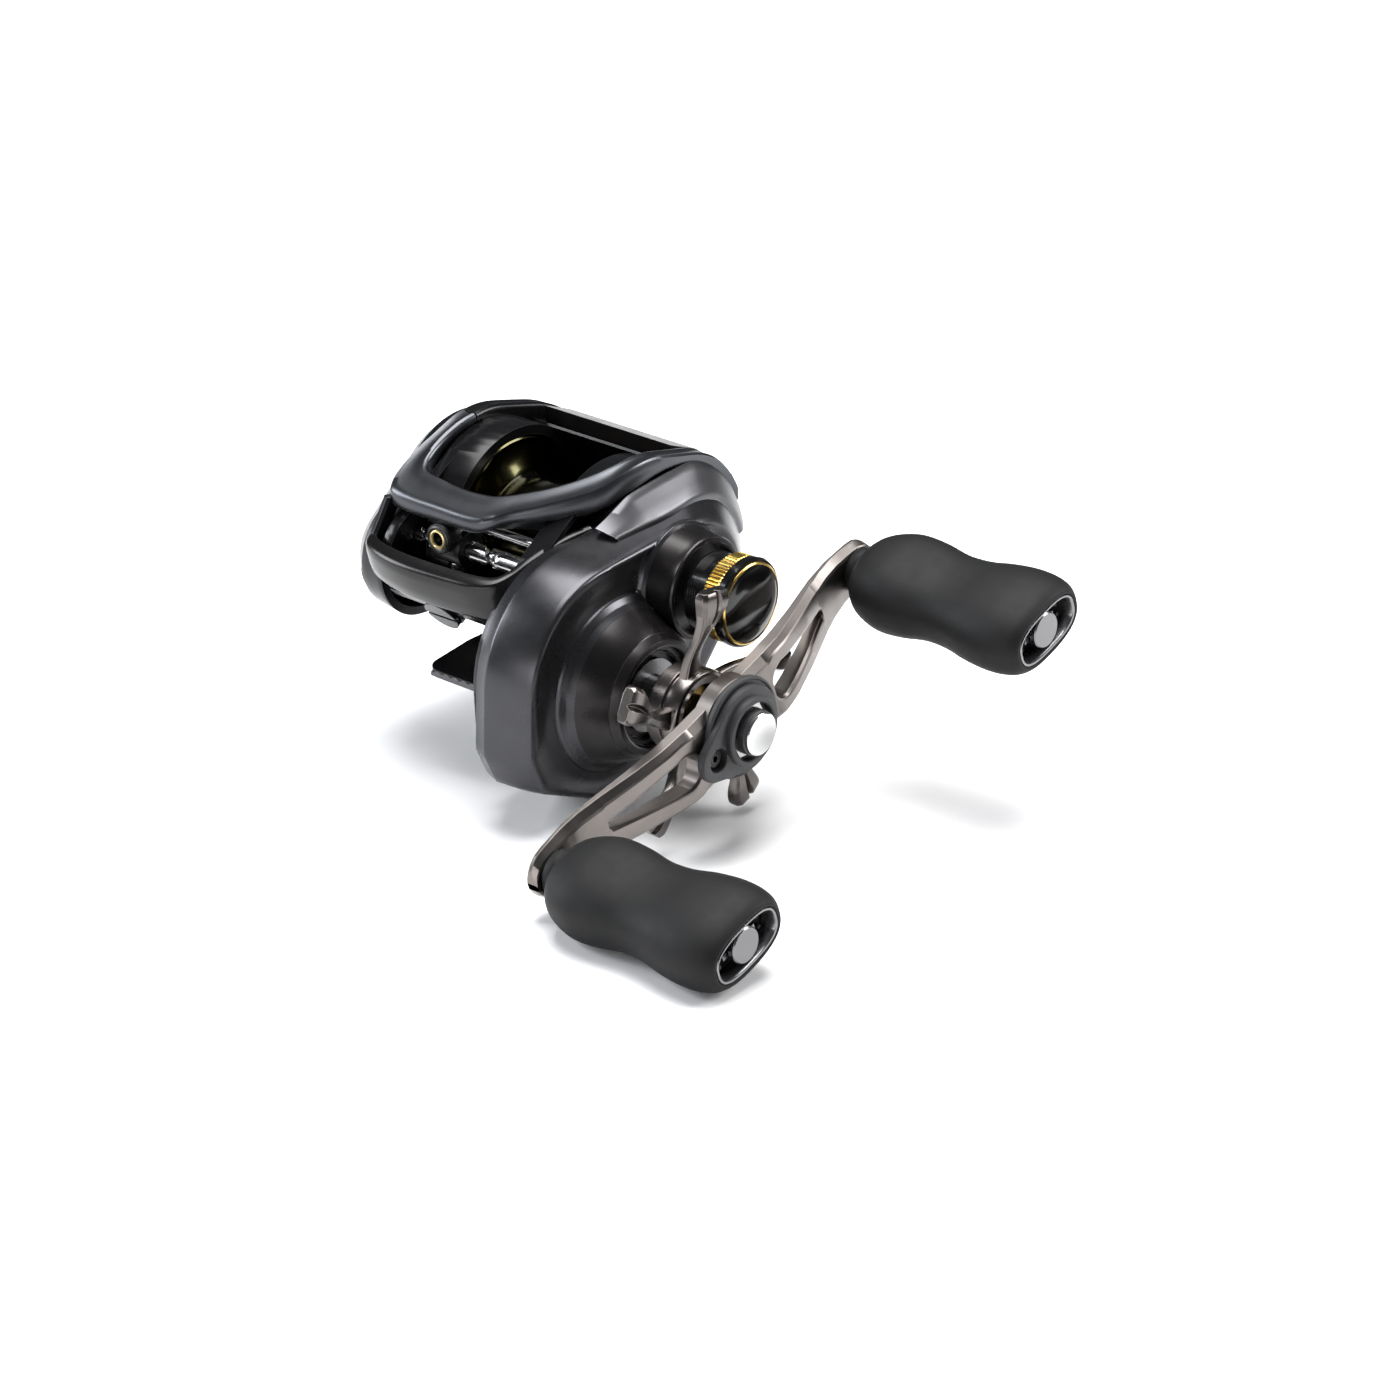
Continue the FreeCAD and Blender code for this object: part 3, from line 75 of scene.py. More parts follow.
class Paint:
    """One procedural material under construction."""

    def __init__(self, name):
        self.material = bpy.data.materials.new(name)
        self.material.use_nodes = True
        self.nodes = self.material.node_tree.nodes
        self.links = self.material.node_tree.links
        self.nodes.clear()
        self.shader = self.nodes.new("ShaderNodeBsdfPrincipled")
        output = self.nodes.new("ShaderNodeOutputMaterial")
        self.links.new(self.shader.outputs[0], output.inputs["Surface"])
        self.place = self.nodes.new("ShaderNodeTexCoord").outputs["Object"]

    def node(self, kind, inputs=(), **settings):
        """A node with settings, and inputs given by name or place, as values or as sockets to link."""
        made = self.nodes.new(kind)
        for key, setting in settings.items():
            setattr(made, key, setting)
        for key, given in dict(inputs).items():
            if isinstance(given, bpy.types.NodeSocket):
                self.links.new(given, made.inputs[key])
            else:
                made.inputs[key].default_value = given
        return made

    def stretched(self, factors):
        """The object's coordinates, scaled along each axis."""
        return self.node("ShaderNodeMapping", {"Vector": self.place, "Scale": factors}).outputs[0]

    def noise(self, scale, detail=3.0, place=None):
        """Cloud noise from 0 to 1; scale is in features per metre."""
        return self.node("ShaderNodeTexNoise", {"Vector": place or self.place, "Scale": scale,
                                                "Detail": detail}).outputs["Fac"]

    def spread(self, factor, low, high, start=0.0, end=1.0):
        """A factor between start and end mapped to low and high."""
        return self.node("ShaderNodeMapRange", {"Value": factor, "From Min": start, "From Max": end,
                                                "To Min": low, "To Max": high}).outputs[0]

    def mixed(self, factor, first, second):
        """Two colours or sockets, mixed by a factor."""
        inputs = {MIX_FACTOR: factor, MIX_FIRST: first, MIX_SECOND: second}
        return self.node("ShaderNodeMix", inputs, data_type="RGBA").outputs[MIX_RESULT]

    def times(self, first, second):
        """The product of two numbers or sockets."""
        return self.node("ShaderNodeMath", {0: first, 1: second}, operation="MULTIPLY").outputs[0]

    def bumps(self, height, strength, depth):
        """A bump from a height socket; depth in metres."""
        inputs = {"Height": height, "Strength": strength, "Distance": depth}
        return self.node("ShaderNodeBump", inputs).outputs[0]

    def edges(self, radius):
        """1 along sharp edges and 0 on flat or gently curved surfaces."""
        soft = self.node("ShaderNodeBevel", {"Radius": radius}, samples=BEVEL_SAMPLES).outputs[0]
        flat = self.node("ShaderNodeNewGeometry").outputs["Normal"]
        match = self.node("ShaderNodeVectorMath", {0: soft, 1: flat}, operation="DOT_PRODUCT")
        return self.spread(match.outputs["Value"], 1.0, 0.0, SHARP_MATCH, FLAT_MATCH)

    def set(self, **values):
        """Shader inputs by name, with underscores for spaces: constants are set, sockets are linked."""
        for key, given in values.items():
            socket = self.shader.inputs[key.replace("_", " ").title()]
            if isinstance(given, bpy.types.NodeSocket):
                self.links.new(given, socket)
            else:
                socket.default_value = given


def shade(colour, factor=1.0):
    """An opaque colour, made lighter or darker."""
    return tuple(min(1.0, part * factor) for part in colour) + (1.0,)


# noise scales, in features per metre
METAL_CLOUD, METAL_GRAIN, METAL_SCUFFS, METAL_GLOSS = 140.0, 9000.0, 420.0, 300.0
PLASTIC_CLOUD, PLASTIC_GRAIN, PLASTIC_GLOSS = 160.0, 5200.0, 380.0
METAL_BUMP, PLASTIC_BUMP = 0.08, 0.5
# ranges of the noise over which glints, scuffs and light pebbles fade in
GLINTS, SCUFFS, PEBBLES = (0.45, 0.75), (0.35, 0.65), (0.5, 0.8)
COAT_ROUGHNESS = 0.12
WEAR_RADIUS = 0.25 * MM
MATERIALS = {}


def metal(name, colour, roughness, metallic=1.0, variation=0.12, grain_depth=0.004,
          wear=0.35, wear_tint=(0.75, 0.75, 0.76), coat=0.0, brushed=None, specular=0.5):
    """Painted, anodised or bare metal with cloudy tone, fine grain, uneven gloss and brighter edges."""
    paint = Paint(name)
    cloud = paint.noise(METAL_CLOUD, 5.0)
    tone = paint.mixed(cloud, shade(colour, 1 - variation), shade(colour, 1 + variation))
    if brushed:
        fine = paint.noise(1.0, 4.0, paint.stretched(brushed))
    else:
        fine = paint.noise(METAL_GRAIN, 4.0)
    glints = paint.spread(fine, 0.0, 0.5, *GLINTS)
    tone = paint.mixed(glints, tone, shade(colour, 1 + 2.2 * variation))
    scuffs = paint.spread(paint.noise(METAL_SCUFFS, 6.0), 0.25, 1.0, *SCUFFS)
    worn = paint.times(paint.times(paint.edges(WEAR_RADIUS), scuffs), wear)
    tone = paint.mixed(worn, tone, shade(wear_tint))
    paint.set(base_color=tone)
    paint.set(roughness=paint.spread(paint.noise(METAL_GLOSS, 4.0), roughness * 0.85, roughness * 1.2))
    paint.shader.inputs["Metallic"].default_value = metallic
    paint.shader.inputs["Specular IOR Level"].default_value = specular
    paint.shader.inputs["Coat Weight"].default_value = coat
    paint.shader.inputs["Coat Roughness"].default_value = COAT_ROUGHNESS
    paint.links.new(paint.bumps(fine, METAL_BUMP, grain_depth * MM), paint.shader.inputs["Normal"])
    MATERIALS[name] = paint.material


def moulded(name, colour, roughness, depth=0.03, variation=0.10, specular=0.5):
    """Plastic or rubber with a fine moulded texture."""
    paint = Paint(name)
    cloud = paint.noise(PLASTIC_CLOUD, 4.0)
    tone = paint.mixed(cloud, shade(colour, 1 - variation), shade(colour, 1 + variation))
    pebble = paint.noise(PLASTIC_GRAIN, 3.0)
    # the high points of the pebble texture, the same noise that raises the bumps, made lighter
    pebble_tops_lighter = paint.mixed(paint.spread(pebble, 0.0, 0.35, *PEBBLES), tone, shade(colour, 1.9))
    paint.set(base_color=pebble_tops_lighter)
    gloss = paint.spread(paint.noise(PLASTIC_GLOSS, 3.0), roughness * 0.9, min(1.0, roughness * 1.12))
    paint.set(roughness=gloss)
    paint.shader.inputs["Specular IOR Level"].default_value = specular
    paint.links.new(paint.bumps(pebble, PLASTIC_BUMP, depth * MM), paint.shader.inputs["Normal"])
    MATERIALS[name] = paint.material


# brush marks that run round the X axis: features per metre along X, Y and Z
BRUSH_ROUND_X = (400.0, 26000.0, 26000.0)

# slot, colour, roughness, share of metal; the slots of the record, and a few for parts of pieces
metal("frame_black", (0.004, 0.004, 0.0045), 0.24, 0.0, wear=0.04, specular=0.22)
metal("hood_grey", (0.062, 0.064, 0.070), 0.30, 0.92, wear=0.22, wear_tint=(0.42, 0.42, 0.44))
metal("lip_grey", (0.026, 0.0255, 0.0255), 0.25, 0.85, wear=0.4, wear_tint=(0.25, 0.25, 0.25))
metal("palm_dark", (0.026, 0.026, 0.028), 0.30, 0.85, wear=0.25, wear_tint=(0.3, 0.3, 0.3))
metal("case_dark", (0.048, 0.048, 0.052), 0.28, 0.85, wear=0.16, wear_tint=(0.35, 0.35, 0.36))
metal("strip_grey", (0.080, 0.080, 0.085), 0.34, 0.9, wear=0.2, wear_tint=(0.4, 0.4, 0.4))
# bearing steel darker than the shafts: painted shade for the dark cavity inside the reel where these parts
# sit
metal("bearing_steel", (0.20, 0.20, 0.205), 0.26, wear=0.1, wear_tint=(0.5, 0.5, 0.5))
metal("shaft_steel", (0.52, 0.52, 0.52), 0.20, brushed=BRUSH_ROUND_X, wear=0.1)
metal("brass_gear", (0.60, 0.42, 0.16), 0.26, wear=0.2, wear_tint=(0.9, 0.75, 0.4))
metal("alloy_gear", (0.45, 0.45, 0.46), 0.30, wear=0.2)
moulded("carbon", (0.02, 0.02, 0.02), 0.6)
# spool: deep olive bronze, made darker still as painted shade for the shadowed inside of the frame
metal("spool_bronze", (0.030, 0.027, 0.007), 0.13, coat=0.3, wear=0.1, wear_tint=(0.35, 0.31, 0.15))
metal("star_gunmetal", (0.135, 0.122, 0.116), 0.25, wear=0.25, wear_tint=(0.5, 0.48, 0.46))
metal("crank_titanium", (0.17, 0.154, 0.145), 0.31, variation=0.2, wear=0.15,
      wear_tint=(0.45, 0.43, 0.41))
metal("cover_charcoal", (0.026, 0.026, 0.028), 0.50, 0.2, grain_depth=0.012,
      wear=0.12, wear_tint=(0.3, 0.3, 0.3))
metal("cap_silver", (0.62, 0.62, 0.62), 0.20, brushed=BRUSH_ROUND_X, wear=0.1)
metal("screw_steel", (0.10, 0.10, 0.105), 0.34, wear=0.7, wear_tint=(0.4, 0.4, 0.4))
metal("screw_dark", (0.03, 0.03, 0.03), 0.35, wear=0.3)
moulded("knob_rubber", (0.0048, 0.0048, 0.0052), 0.60, depth=0.02, specular=0.22)
metal("knob_trim", (0.17, 0.17, 0.175), 0.24, 0.9, wear=0.2)
moulded("plastic_black", (0.006, 0.006, 0.0065), 0.42)
metal("cast_black", (0.004, 0.004, 0.004), 0.13, 0.4, variation=0.25, grain_depth=0.001,
      coat=0.5, wear=0.04)
metal("gold", (0.66, 0.44, 0.10), 0.20, wear=0.3, wear_tint=(0.95, 0.85, 0.5))
metal("guide_gold", (0.78, 0.62, 0.30), 0.25, 0.55, wear=0.1, wear_tint=(0.95, 0.9, 0.7))
metal("thumb_dark", (0.018, 0.016, 0.016), 0.28, 0.7, wear=0.12)


def dress_cad_nodes():
    """Every CAD node takes the material of its own slot."""
    for part in frame["record"]["subparts"]:
        materials = frame["nodes"][part["node"]].data.materials
        materials.clear()
        materials.append(MATERIALS[part["material_slot"]])


dress_cad_nodes()


# ---------------------------------------------------------------- places taken from the CAD model
JOINT_PLACE = {joint["name"]: joint["pos_m"] for joint in frame["record"]["behaviour"]["joints"]}


def axis_of(joint):
    """The (y, z) of a joint's axis along X, in millimetres."""
    return (JOINT_PLACE[joint][1] / MM, JOINT_PLACE[joint][2] / MM)


DRIVE = axis_of("drive_spin")
SPOOL = axis_of("spool_spin")
WORM = axis_of("worm_spin")
KNOBS = {"front": axis_of("front_knob_spin"), "rear": axis_of("rear_knob_spin")}
# how far the crank is turned from the Y axis, in radians
CRANK = math.atan2(DRIVE[1] - KNOBS["front"][1], DRIVE[0] - KNOBS["front"][0])
# (y, z) of the brake dial's axis, and y of the foot's front edge
BRAKE_DIAL = (-15.5, 14.5)
FOOT_FRONT = -29.0


# ---------------------------------------------------------------- mesh helpers, all in millimetres
# points this close are joined, and edges this short are dissolved
JOIN_GAP, SHORTEST_EDGE = 0.003, 0.002


def polar(centre, reach, turn):
    """The (y, z) at a distance and direction from a centre."""
    return (centre[0] + reach * math.cos(turn), centre[1] + reach * math.sin(turn))


def full_turn(steps):
    """Directions spread evenly round a circle, in radians."""
    return [2 * math.pi * step / steps for step in range(steps)]


def circle(x, centre, radius, steps):
    """Points of a circle in the plane at x."""
    return [(x,) + polar(centre, radius, turn) for turn in full_turn(steps)]


def skin(bm, loops, wrap=False, ends=True, paint=0):
    """Faces between successive loops of points, with both ends closed unless the loops wrap."""
    rings = [[bm.verts.new(point) for point in loop] for loop in loops]
    pairs = list(zip(rings, rings[1:]))
    if wrap:
        pairs.append((rings[-1], rings[0]))
    for first, second in pairs:
        for here in range(len(first)):
            there = (here + 1) % len(first)
            face = bm.faces.new((first[here], first[there], second[there], second[here]))
            face.material_index = paint
    if ends and not wrap:
        for ring in (rings[0], rings[-1]):
            bm.faces.new(ring).material_index = paint


def turned(bm, centre, profile, steps=96, wrap=True, paint=0):
    """A solid of revolution about an axis along X, from a profile of (x, radius)."""
    loops = [circle(x, centre, radius, steps) for x, radius in profile]
    skin(bm, loops, wrap=wrap, ends=False, paint=paint)


def knurled(centre, rows, steps):
    """Loops about an axis along X, from rows of (x, radius, cut), cut at every third point."""
    return [[(x,) + polar(centre, radius - cut * (step % 3 == 0), turn)
             for step, turn in enumerate(full_turn(steps))] for x, radius, cut in rows]


def soften(piece, width, sharp):
    """Small rounded edges that catch the light, wherever faces meet at more than sharp degrees."""
    edge = piece.modifiers.new("edges", "BEVEL")
    edge.width = width * MM
    edge.segments = 2
    edge.limit_method = "ANGLE"
    edge.angle_limit = math.radians(sharp)
    edge.harden_normals = True
    edge.use_clamp_overlap = True


def finish(name, bm, body, slot_name, *nodes, sharp, bevel=0.0, second=None):
    """Turn a mesh in millimetres into a piece that rides on a body and stands for CAD nodes.

    Edges stay sharp where faces meet at more than sharp degrees; second is the paint of faces numbered 1.
    """
    bmesh.ops.remove_doubles(bm, verts=bm.verts, dist=JOIN_GAP)
    bmesh.ops.dissolve_degenerate(bm, edges=bm.edges, dist=SHORTEST_EDGE)
    bmesh.ops.recalc_face_normals(bm, faces=bm.faces)
    bmesh.ops.scale(bm, vec=(MM, MM, MM), verts=bm.verts)
    mesh = bpy.data.meshes.new(name)
    bm.to_mesh(mesh)
    bm.free()
    mesh.shade_smooth()
    mesh.set_sharp_from_angle(angle=math.radians(sharp))
    piece = bpy.data.objects.new(name, mesh)
    bpy.context.scene.collection.objects.link(piece)
    if bevel:
        soften(piece, bevel, sharp)
    mesh.materials.append(MATERIALS[slot_name])
    if second:
        mesh.materials.append(MATERIALS[second])
    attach(piece, body)
    if nodes:
        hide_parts(*nodes)


def skinned(name, loops, body, slot_name, *nodes, wrap=False, ends=True, **edges):
    """A piece made of a single skin over loops of points."""
    bm = bmesh.new()
    skin(bm, loops, wrap=wrap, ends=ends)
    finish(name, bm, body, slot_name, *nodes, **edges)


def between(first, second, share):
    """The point a share of the way from one point to another."""
    return tuple(a + (b - a) * share for a, b in zip(first, second))


def smooth_between(before, first, second, after, share):
    """A number between first and second, on a smooth curve through all four (Catmull-Rom)."""
    slope = second - before
    bend = 2 * before - 5 * first + 4 * second - after
    twist = 3 * first - before - 3 * second + after
    return 0.5 * (2 * first + slope * share + bend * share * share + twist * share ** 3)


def flowing(rows, steps):
    """Rows of numbers, with smooth rows put between them."""
    result = []
    for index in range(len(rows) - 1):
        near = (rows[max(index - 1, 0)], rows[index], rows[index + 1], rows[min(index + 2, len(rows) - 1)])
        for step in range(steps):
            result.append(tuple(smooth_between(*four, step / steps) for four in zip(*near)))
    result.append(tuple(rows[-1]))
    return result


def shrink(circles, amount):
    """Circles (y, z, radius) with every radius reduced."""
    return [(y, z, radius - amount) for y, z, radius in circles]


FACINGS = full_turn(720)
# facings further than this from the wanted direction (as a cosine) never decide the reach
LEAST_LEAN = 0.25


def belt_support(circles, centre, facing):
    """How far a belt stretched round circles lies from a centre, square to the belt's own edge."""
    return max((y - centre[0]) * math.cos(facing) + (z - centre[1]) * math.sin(facing) + radius
               for y, z, radius in circles)


def belt_reach(circles, centre, turn):
    """How far a belt stretched round circles lies from a centre inside it, in one direction."""
    reach = math.inf
    for facing in FACINGS:
        lean = math.cos(facing - turn)
        if lean > LEAST_LEAN:
            reach = min(reach, belt_support(circles, centre, facing) / lean)
    return reach


def circle_reach(middle, radius, centre, turn):
    """How far a circle round a centre inside it reaches in one direction."""
    along = (middle[0] - centre[0]) * math.cos(turn) + (middle[1] - centre[1]) * math.sin(turn)
    off = (middle[0] - centre[0]) * math.sin(turn) - (middle[1] - centre[1]) * math.cos(turn)
    return along + math.sqrt(max(radius ** 2 - off ** 2, 0.0))


# ---------------------------------------------------------------- gear case
# circles (y, z, radius); a belt stretched round them is the case's outline at its widest and at its crease
CASE_WIDEST = [(-17.0, 4.8, 22.8), (11.5, 16.5, 18.2), (-20.5, 8.0, 21.9), (-39.9, -3.0, 2.9),
               (-38.0, -8.4, 2.2)]
CASE_CREASE = [(-17.0, 4.8, 22.0), (4.0, 16.0, 14.0), (-20.2, 8.0, 20.9), (-38.8, -3.0, 2.4),
               (-36.9, -8.4, 1.9)]
BAND_START, BAND_WIDTH = 20.0, 10.0
CASE_MIDDLE = polar(DRIVE, 13.2, math.atan2(SPOOL[1] - DRIVE[1], SPOOL[0] - DRIVE[0]))
CASE_TURNS = full_turn(180)
# the higher, the tighter the saddle between the drive boss and the collar
SADDLE_POWER = 13


def case_loop(x, reaches):
    """A loop of points round the gear case's middle at x."""
    return [(x,) + polar(CASE_MIDDLE, reach, turn) for reach, turn in zip(reaches, CASE_TURNS)]


def raised_foot(drive_radius, cap_radius):
    """Reaches of the outline that hugs the drive boss and the cast-control collar with a soft saddle."""
    reaches = []
    for turn in CASE_TURNS:
        boss = circle_reach(DRIVE, drive_radius, CASE_MIDDLE, turn)
        collar = circle_reach(SPOOL, cap_radius, CASE_MIDDLE, turn)
        reaches.append((boss ** SADDLE_POWER + collar ** SADDLE_POWER) ** (1 / SADDLE_POWER))
    return reaches


def make_gear_case():
    """Gear case: softly crowned band, crease, dished face, faceted saddle under boss and collar."""
    widest = [belt_reach(CASE_WIDEST, CASE_MIDDLE, turn) for turn in CASE_TURNS]
    crease = [belt_reach(CASE_CREASE, CASE_MIDDLE, turn) for turn in CASE_TURNS]
    face_edge = [reach - 0.9 for reach in crease]
    foot = raised_foot(17.2, 11.3)
    loops = []
    for x, inset in ((17.0, 1.6), (17.0, 0.9), (19.3, 0.25), (19.7, 0.02)):
        loops.append(case_loop(x, [reach - inset for reach in widest]))
    for share in (0.0, 0.12, 0.3, 0.5, 0.7, 0.86, 0.95):
        crown = 0.25 * math.sin(math.pi * share)
        reaches = [a + (b - a) * share + crown for a, b in zip(widest, crease)]
        loops.append(case_loop(BAND_START + BAND_WIDTH * share, reaches))
    for x, inset in ((29.9, 0.12), (30.15, 0.55)):
        loops.append(case_loop(x, [reach - inset for reach in crease]))
    for share, x in ((0.06, 30.12), (0.2, 29.85), (0.45, 29.45), (0.7, 29.3), (0.9, 29.45), (1.0, 29.6)):
        loops.append(case_loop(x, [max(a + (b - a) * share, b) for a, b in zip(face_edge, foot)]))
    for x, drive_radius, cap_radius in ((30.15, 17.0, 11.15), (30.35, 16.75, 11.0), (30.8, 15.95, 10.45),
                                        (31.05, 15.75, 10.3), (32.0, 15.1, 10.15), (33.2, 14.3, 10.0),
                                        (33.6, 13.3, 9.5)):
        loops.append(case_loop(x, raised_foot(drive_radius, cap_radius)))
    skinned("gear_case_shell", loops, "reel_body", "case_dark", "gear_case", sharp=38)


def make_boss_and_collar():
    """Drive boss with its recess, and the cast control's collar, each turned."""
    boss = [(29.0, 0.0), (29.0, 16.6), (31.0, 15.62), (37.6, 12.02), (37.75, 11.82), (37.95, 11.84),
            (39.15, 11.15), (39.42, 10.95), (39.5, 10.6), (39.5, 9.95), (39.35, 9.65), (38.9, 9.4),
            (38.0, 9.35), (38.0, 8.7), (37.7, 8.4), (36.6, 8.3), (36.6, 0.0)]
    collar = [(29.0, 0.0), (29.0, 10.7), (34.8, 10.05), (35.7, 9.95), (36.2, 9.98), (36.5, 9.85),
              (36.62, 9.55), (36.6, 9.05), (36.35, 8.8), (35.0, 8.6), (34.2, 8.4), (34.2, 0.0)]
    for name, centre, profile in (("drive_boss", DRIVE, boss), ("cap_collar", SPOOL, collar)):
        bm = bmesh.new()
        turned(bm, centre, profile, wrap=False, paint=1)
        finish(name, bm, "reel_body", "case_dark", "gear_case", sharp=25, second="thumb_dark")


def make_side_strip():
    """Smooth trim strip over the case's shoulder: thin bevelled edges and a softly crowned top."""
    # place across the strip from 0 to 1, and height above the case
    section = ((0.0, -0.3), (0.0, 0.9), (0.05, 1.1), (0.3, 1.12), (0.6, 1.02), (0.9, 0.9), (0.985, 0.6),
               (1.0, 0.15), (1.0, -0.3))
    centre = (0.0, 18.0)
    start, stop = math.radians(134.0), math.radians(6.0)
    steps = 60
    left = 21.9
    loops = []
    for step in range(steps + 1):
        share = step / steps
        turn = start + (stop - start) * share
        right = 25.8 + 1.1 * math.sin(math.pi * min(1.0, share * 1.3)) - 1.2 * max(0.0, share - 0.75)
        climb = 3.0 * min(1.0, 0.35 + 3.0 * share) * min(1.0, max(0.0, (0.92 - share) / 0.3))
        row = []
        for place, lift in section:
            x = left + (right - left) * place
            blend = (x - BAND_START) / BAND_WIDTH
            circles = [between(first, second, blend) for first, second in zip(CASE_WIDEST, CASE_CREASE)]
            reach = belt_reach(circles, centre, turn) + 0.5 * math.sin(math.pi * blend) + lift
            if lift > 0.2:
                reach += climb * (1.0 - place) ** 1.4
            row.append((x,) + polar(centre, reach, turn))
        loops.append(row)
    skinned("shoulder_strip", loops, "reel_body", "strip_grey", "side_strip", sharp=40)


# ---------------------------------------------------------------- hood, lip and cheek
# circles (y, z, radius); a belt stretched round them is the hood's top line, seen from the side
HOOD_PROFILE = [(-23.6, 31.4, 2.0), (9.0, 19.0, 20.4), (0.5, 20.4, 21.1)]
# forward of this y the top line keeps its height; and the lowest height of the hood's underside
HOOD_NOSE, HOOD_FLOOR = -25.2, 29.9
SPOOL_ROOM_RADIUS = 19.9
HOOD_HEIGHTS = {}


def hood_top(y):
    """Height of the hood's top surface at y."""
    key = max(round(y, 2), HOOD_NOSE)
    if key not in HOOD_HEIGHTS:
        upward = [facing for facing in FACINGS if math.sin(facing) > 0.03]
        HOOD_HEIGHTS[key] = min((belt_support(HOOD_PROFILE, (0.0, 0.0), facing) - key * math.cos(facing))
                                / math.sin(facing) for facing in upward)
    return HOOD_HEIGHTS[key]


def spool_room(y):
    """Height of the round room over the spool and line guide at y."""
    return SPOOL[1] + math.sqrt(max(SPOOL_ROOM_RADIUS ** 2 - y * y, 60.0))


# inner edge x, y; outer edge x, y; height of the outer edge's foot
HOOD_STATIONS = [
    (-17.7, -2.6, -21.8, -2.2, 38.0), (-18.4, -8.7, -21.9, -8.9, 36.6),
    (-18.2, -12.9, -22.1, -13.2, 34.6), (-17.2, -16.4, -21.8, -18.5, 31.6),
    (-15.1, -18.4, -20.4, -23.2, 30.0), (-11.3, -19.0, -17.4, -25.2, 29.6),
    (-4.9, -19.5, -6.0, -25.5, 29.6), (1.0, -19.0, 1.8, -25.4, 29.8), (3.9, -17.9, 5.0, -24.4, 30.8),
    (6.6, -16.2, 8.0, -21.6, 32.0), (10.4, -13.4, 12.6, -18.0, 32.6), (14.7, -9.0, 17.6, -13.4, 33.4),
    (17.4, -4.6, 20.6, -9.4, 34.8), (18.3, 1.0, 22.0, -3.0, 36.8), (18.3, 7.0, 22.2, 5.0, 38.0),
    (18.0, 13.0, 22.0, 13.0, 37.2), (17.6, 19.0, 21.7, 20.0, 33.6), (17.2, 23.2, 21.6, 24.4, 29.6),
    (16.9, 26.0, 21.5, 27.4, 24.6)]
REST_STATIONS = [
    (-15.6, 22.2, -19.4, 23.2, 20.0), (-16.2, 19.0, -20.0, 19.8, 22.5), (-16.9, 15.0, -20.6, 15.4, 26.0),
    (-17.4, 9.0, -21.4, 9.2, 30.5), (-17.7, 3.0, -21.7, 3.2, 35.0), (-17.7, -2.2, -21.8, -1.8, 38.0)]


def hood_section(inner_x, inner_y, outer_x, outer_y, foot):
    """One cross-section of the hood: inner wall, rolled rim, hollow top, crease, flank and underside."""
    inner, outer = (inner_x, inner_y), (outer_x, outer_y)
    width = math.dist(inner, outer)
    edge_top = hood_top(outer_y)

    def on_top(reach, drop):
        x, y = between(inner, outer, reach / width)
        return (x, y, hood_top(y) - drop)

    def beneath(share, height):
        return between(inner, outer, share) + (height,)

    wall = min(max(spool_room(inner_y), 31.0), hood_top(inner_y) - 1.5)
    if inner_y > 0 and inner_x < 0:
        wall = min(wall, foot + 0.5)
    ceiling = spool_room(outer_y) if outer_y > -19 else HOOD_FLOOR
    return [(inner_x, inner_y, wall), on_top(0.0, 1.0), on_top(0.12, 0.42), on_top(0.5, 0.08),
            on_top(0.95, 0.0), on_top(0.3 * width, 0.22), on_top(0.55 * width, 0.38),
            on_top(0.8 * width, 0.2), on_top(width - 0.45, 0.12), outer + (edge_top - 0.55,),
            outer + (min(foot + 0.5, edge_top - 0.9),), beneath(0.96, foot),
            beneath(0.72, max(foot + 0.4, HOOD_FLOOR)),
            beneath(0.45, max(min(ceiling, edge_top - 1.6), HOOD_FLOOR))]


def make_hood():
    """Hood over the level wind, and the black thumb rest behind it."""
    for name, slot_name, stations in (("hood_shell", "hood_grey", HOOD_STATIONS),
                                      ("thumb_rest", "frame_black", REST_STATIONS)):
        loops = [hood_section(*row) for row in flowing(stations, 6)]
        skinned(name, loops, "reel_body", slot_name, "hood", sharp=42)


def make_window_cheek():
    """The cheek that closes the palm side of the line window."""
    # front y, front z, back y, back z, from the hood down to the lip
    rows = [(-25.4, 31.2, -23.0, 30.4), (-27.0, 28.6, -24.6, 28.0), (-28.8, 26.0, -26.2, 25.4),
            (-29.8, 24.0, -27.4, 23.2), (-30.0, 21.0, -28.0, 20.4)]
    loops = []
    for front_y, front_z, back_y, back_z in flowing(rows, 3):
        loops.append([(-18.9, front_y + 0.5, front_z), (-19.6, front_y, front_z),
                      (-20.9, front_y + 0.7, front_z), (-21.4, back_y + 1.2, back_z),
                      (-18.9, back_y + 1.0, back_z)])
    skinned("window_cheek", loops, "reel_body", "palm_dark", "hood", sharp=35, bevel=0.15)


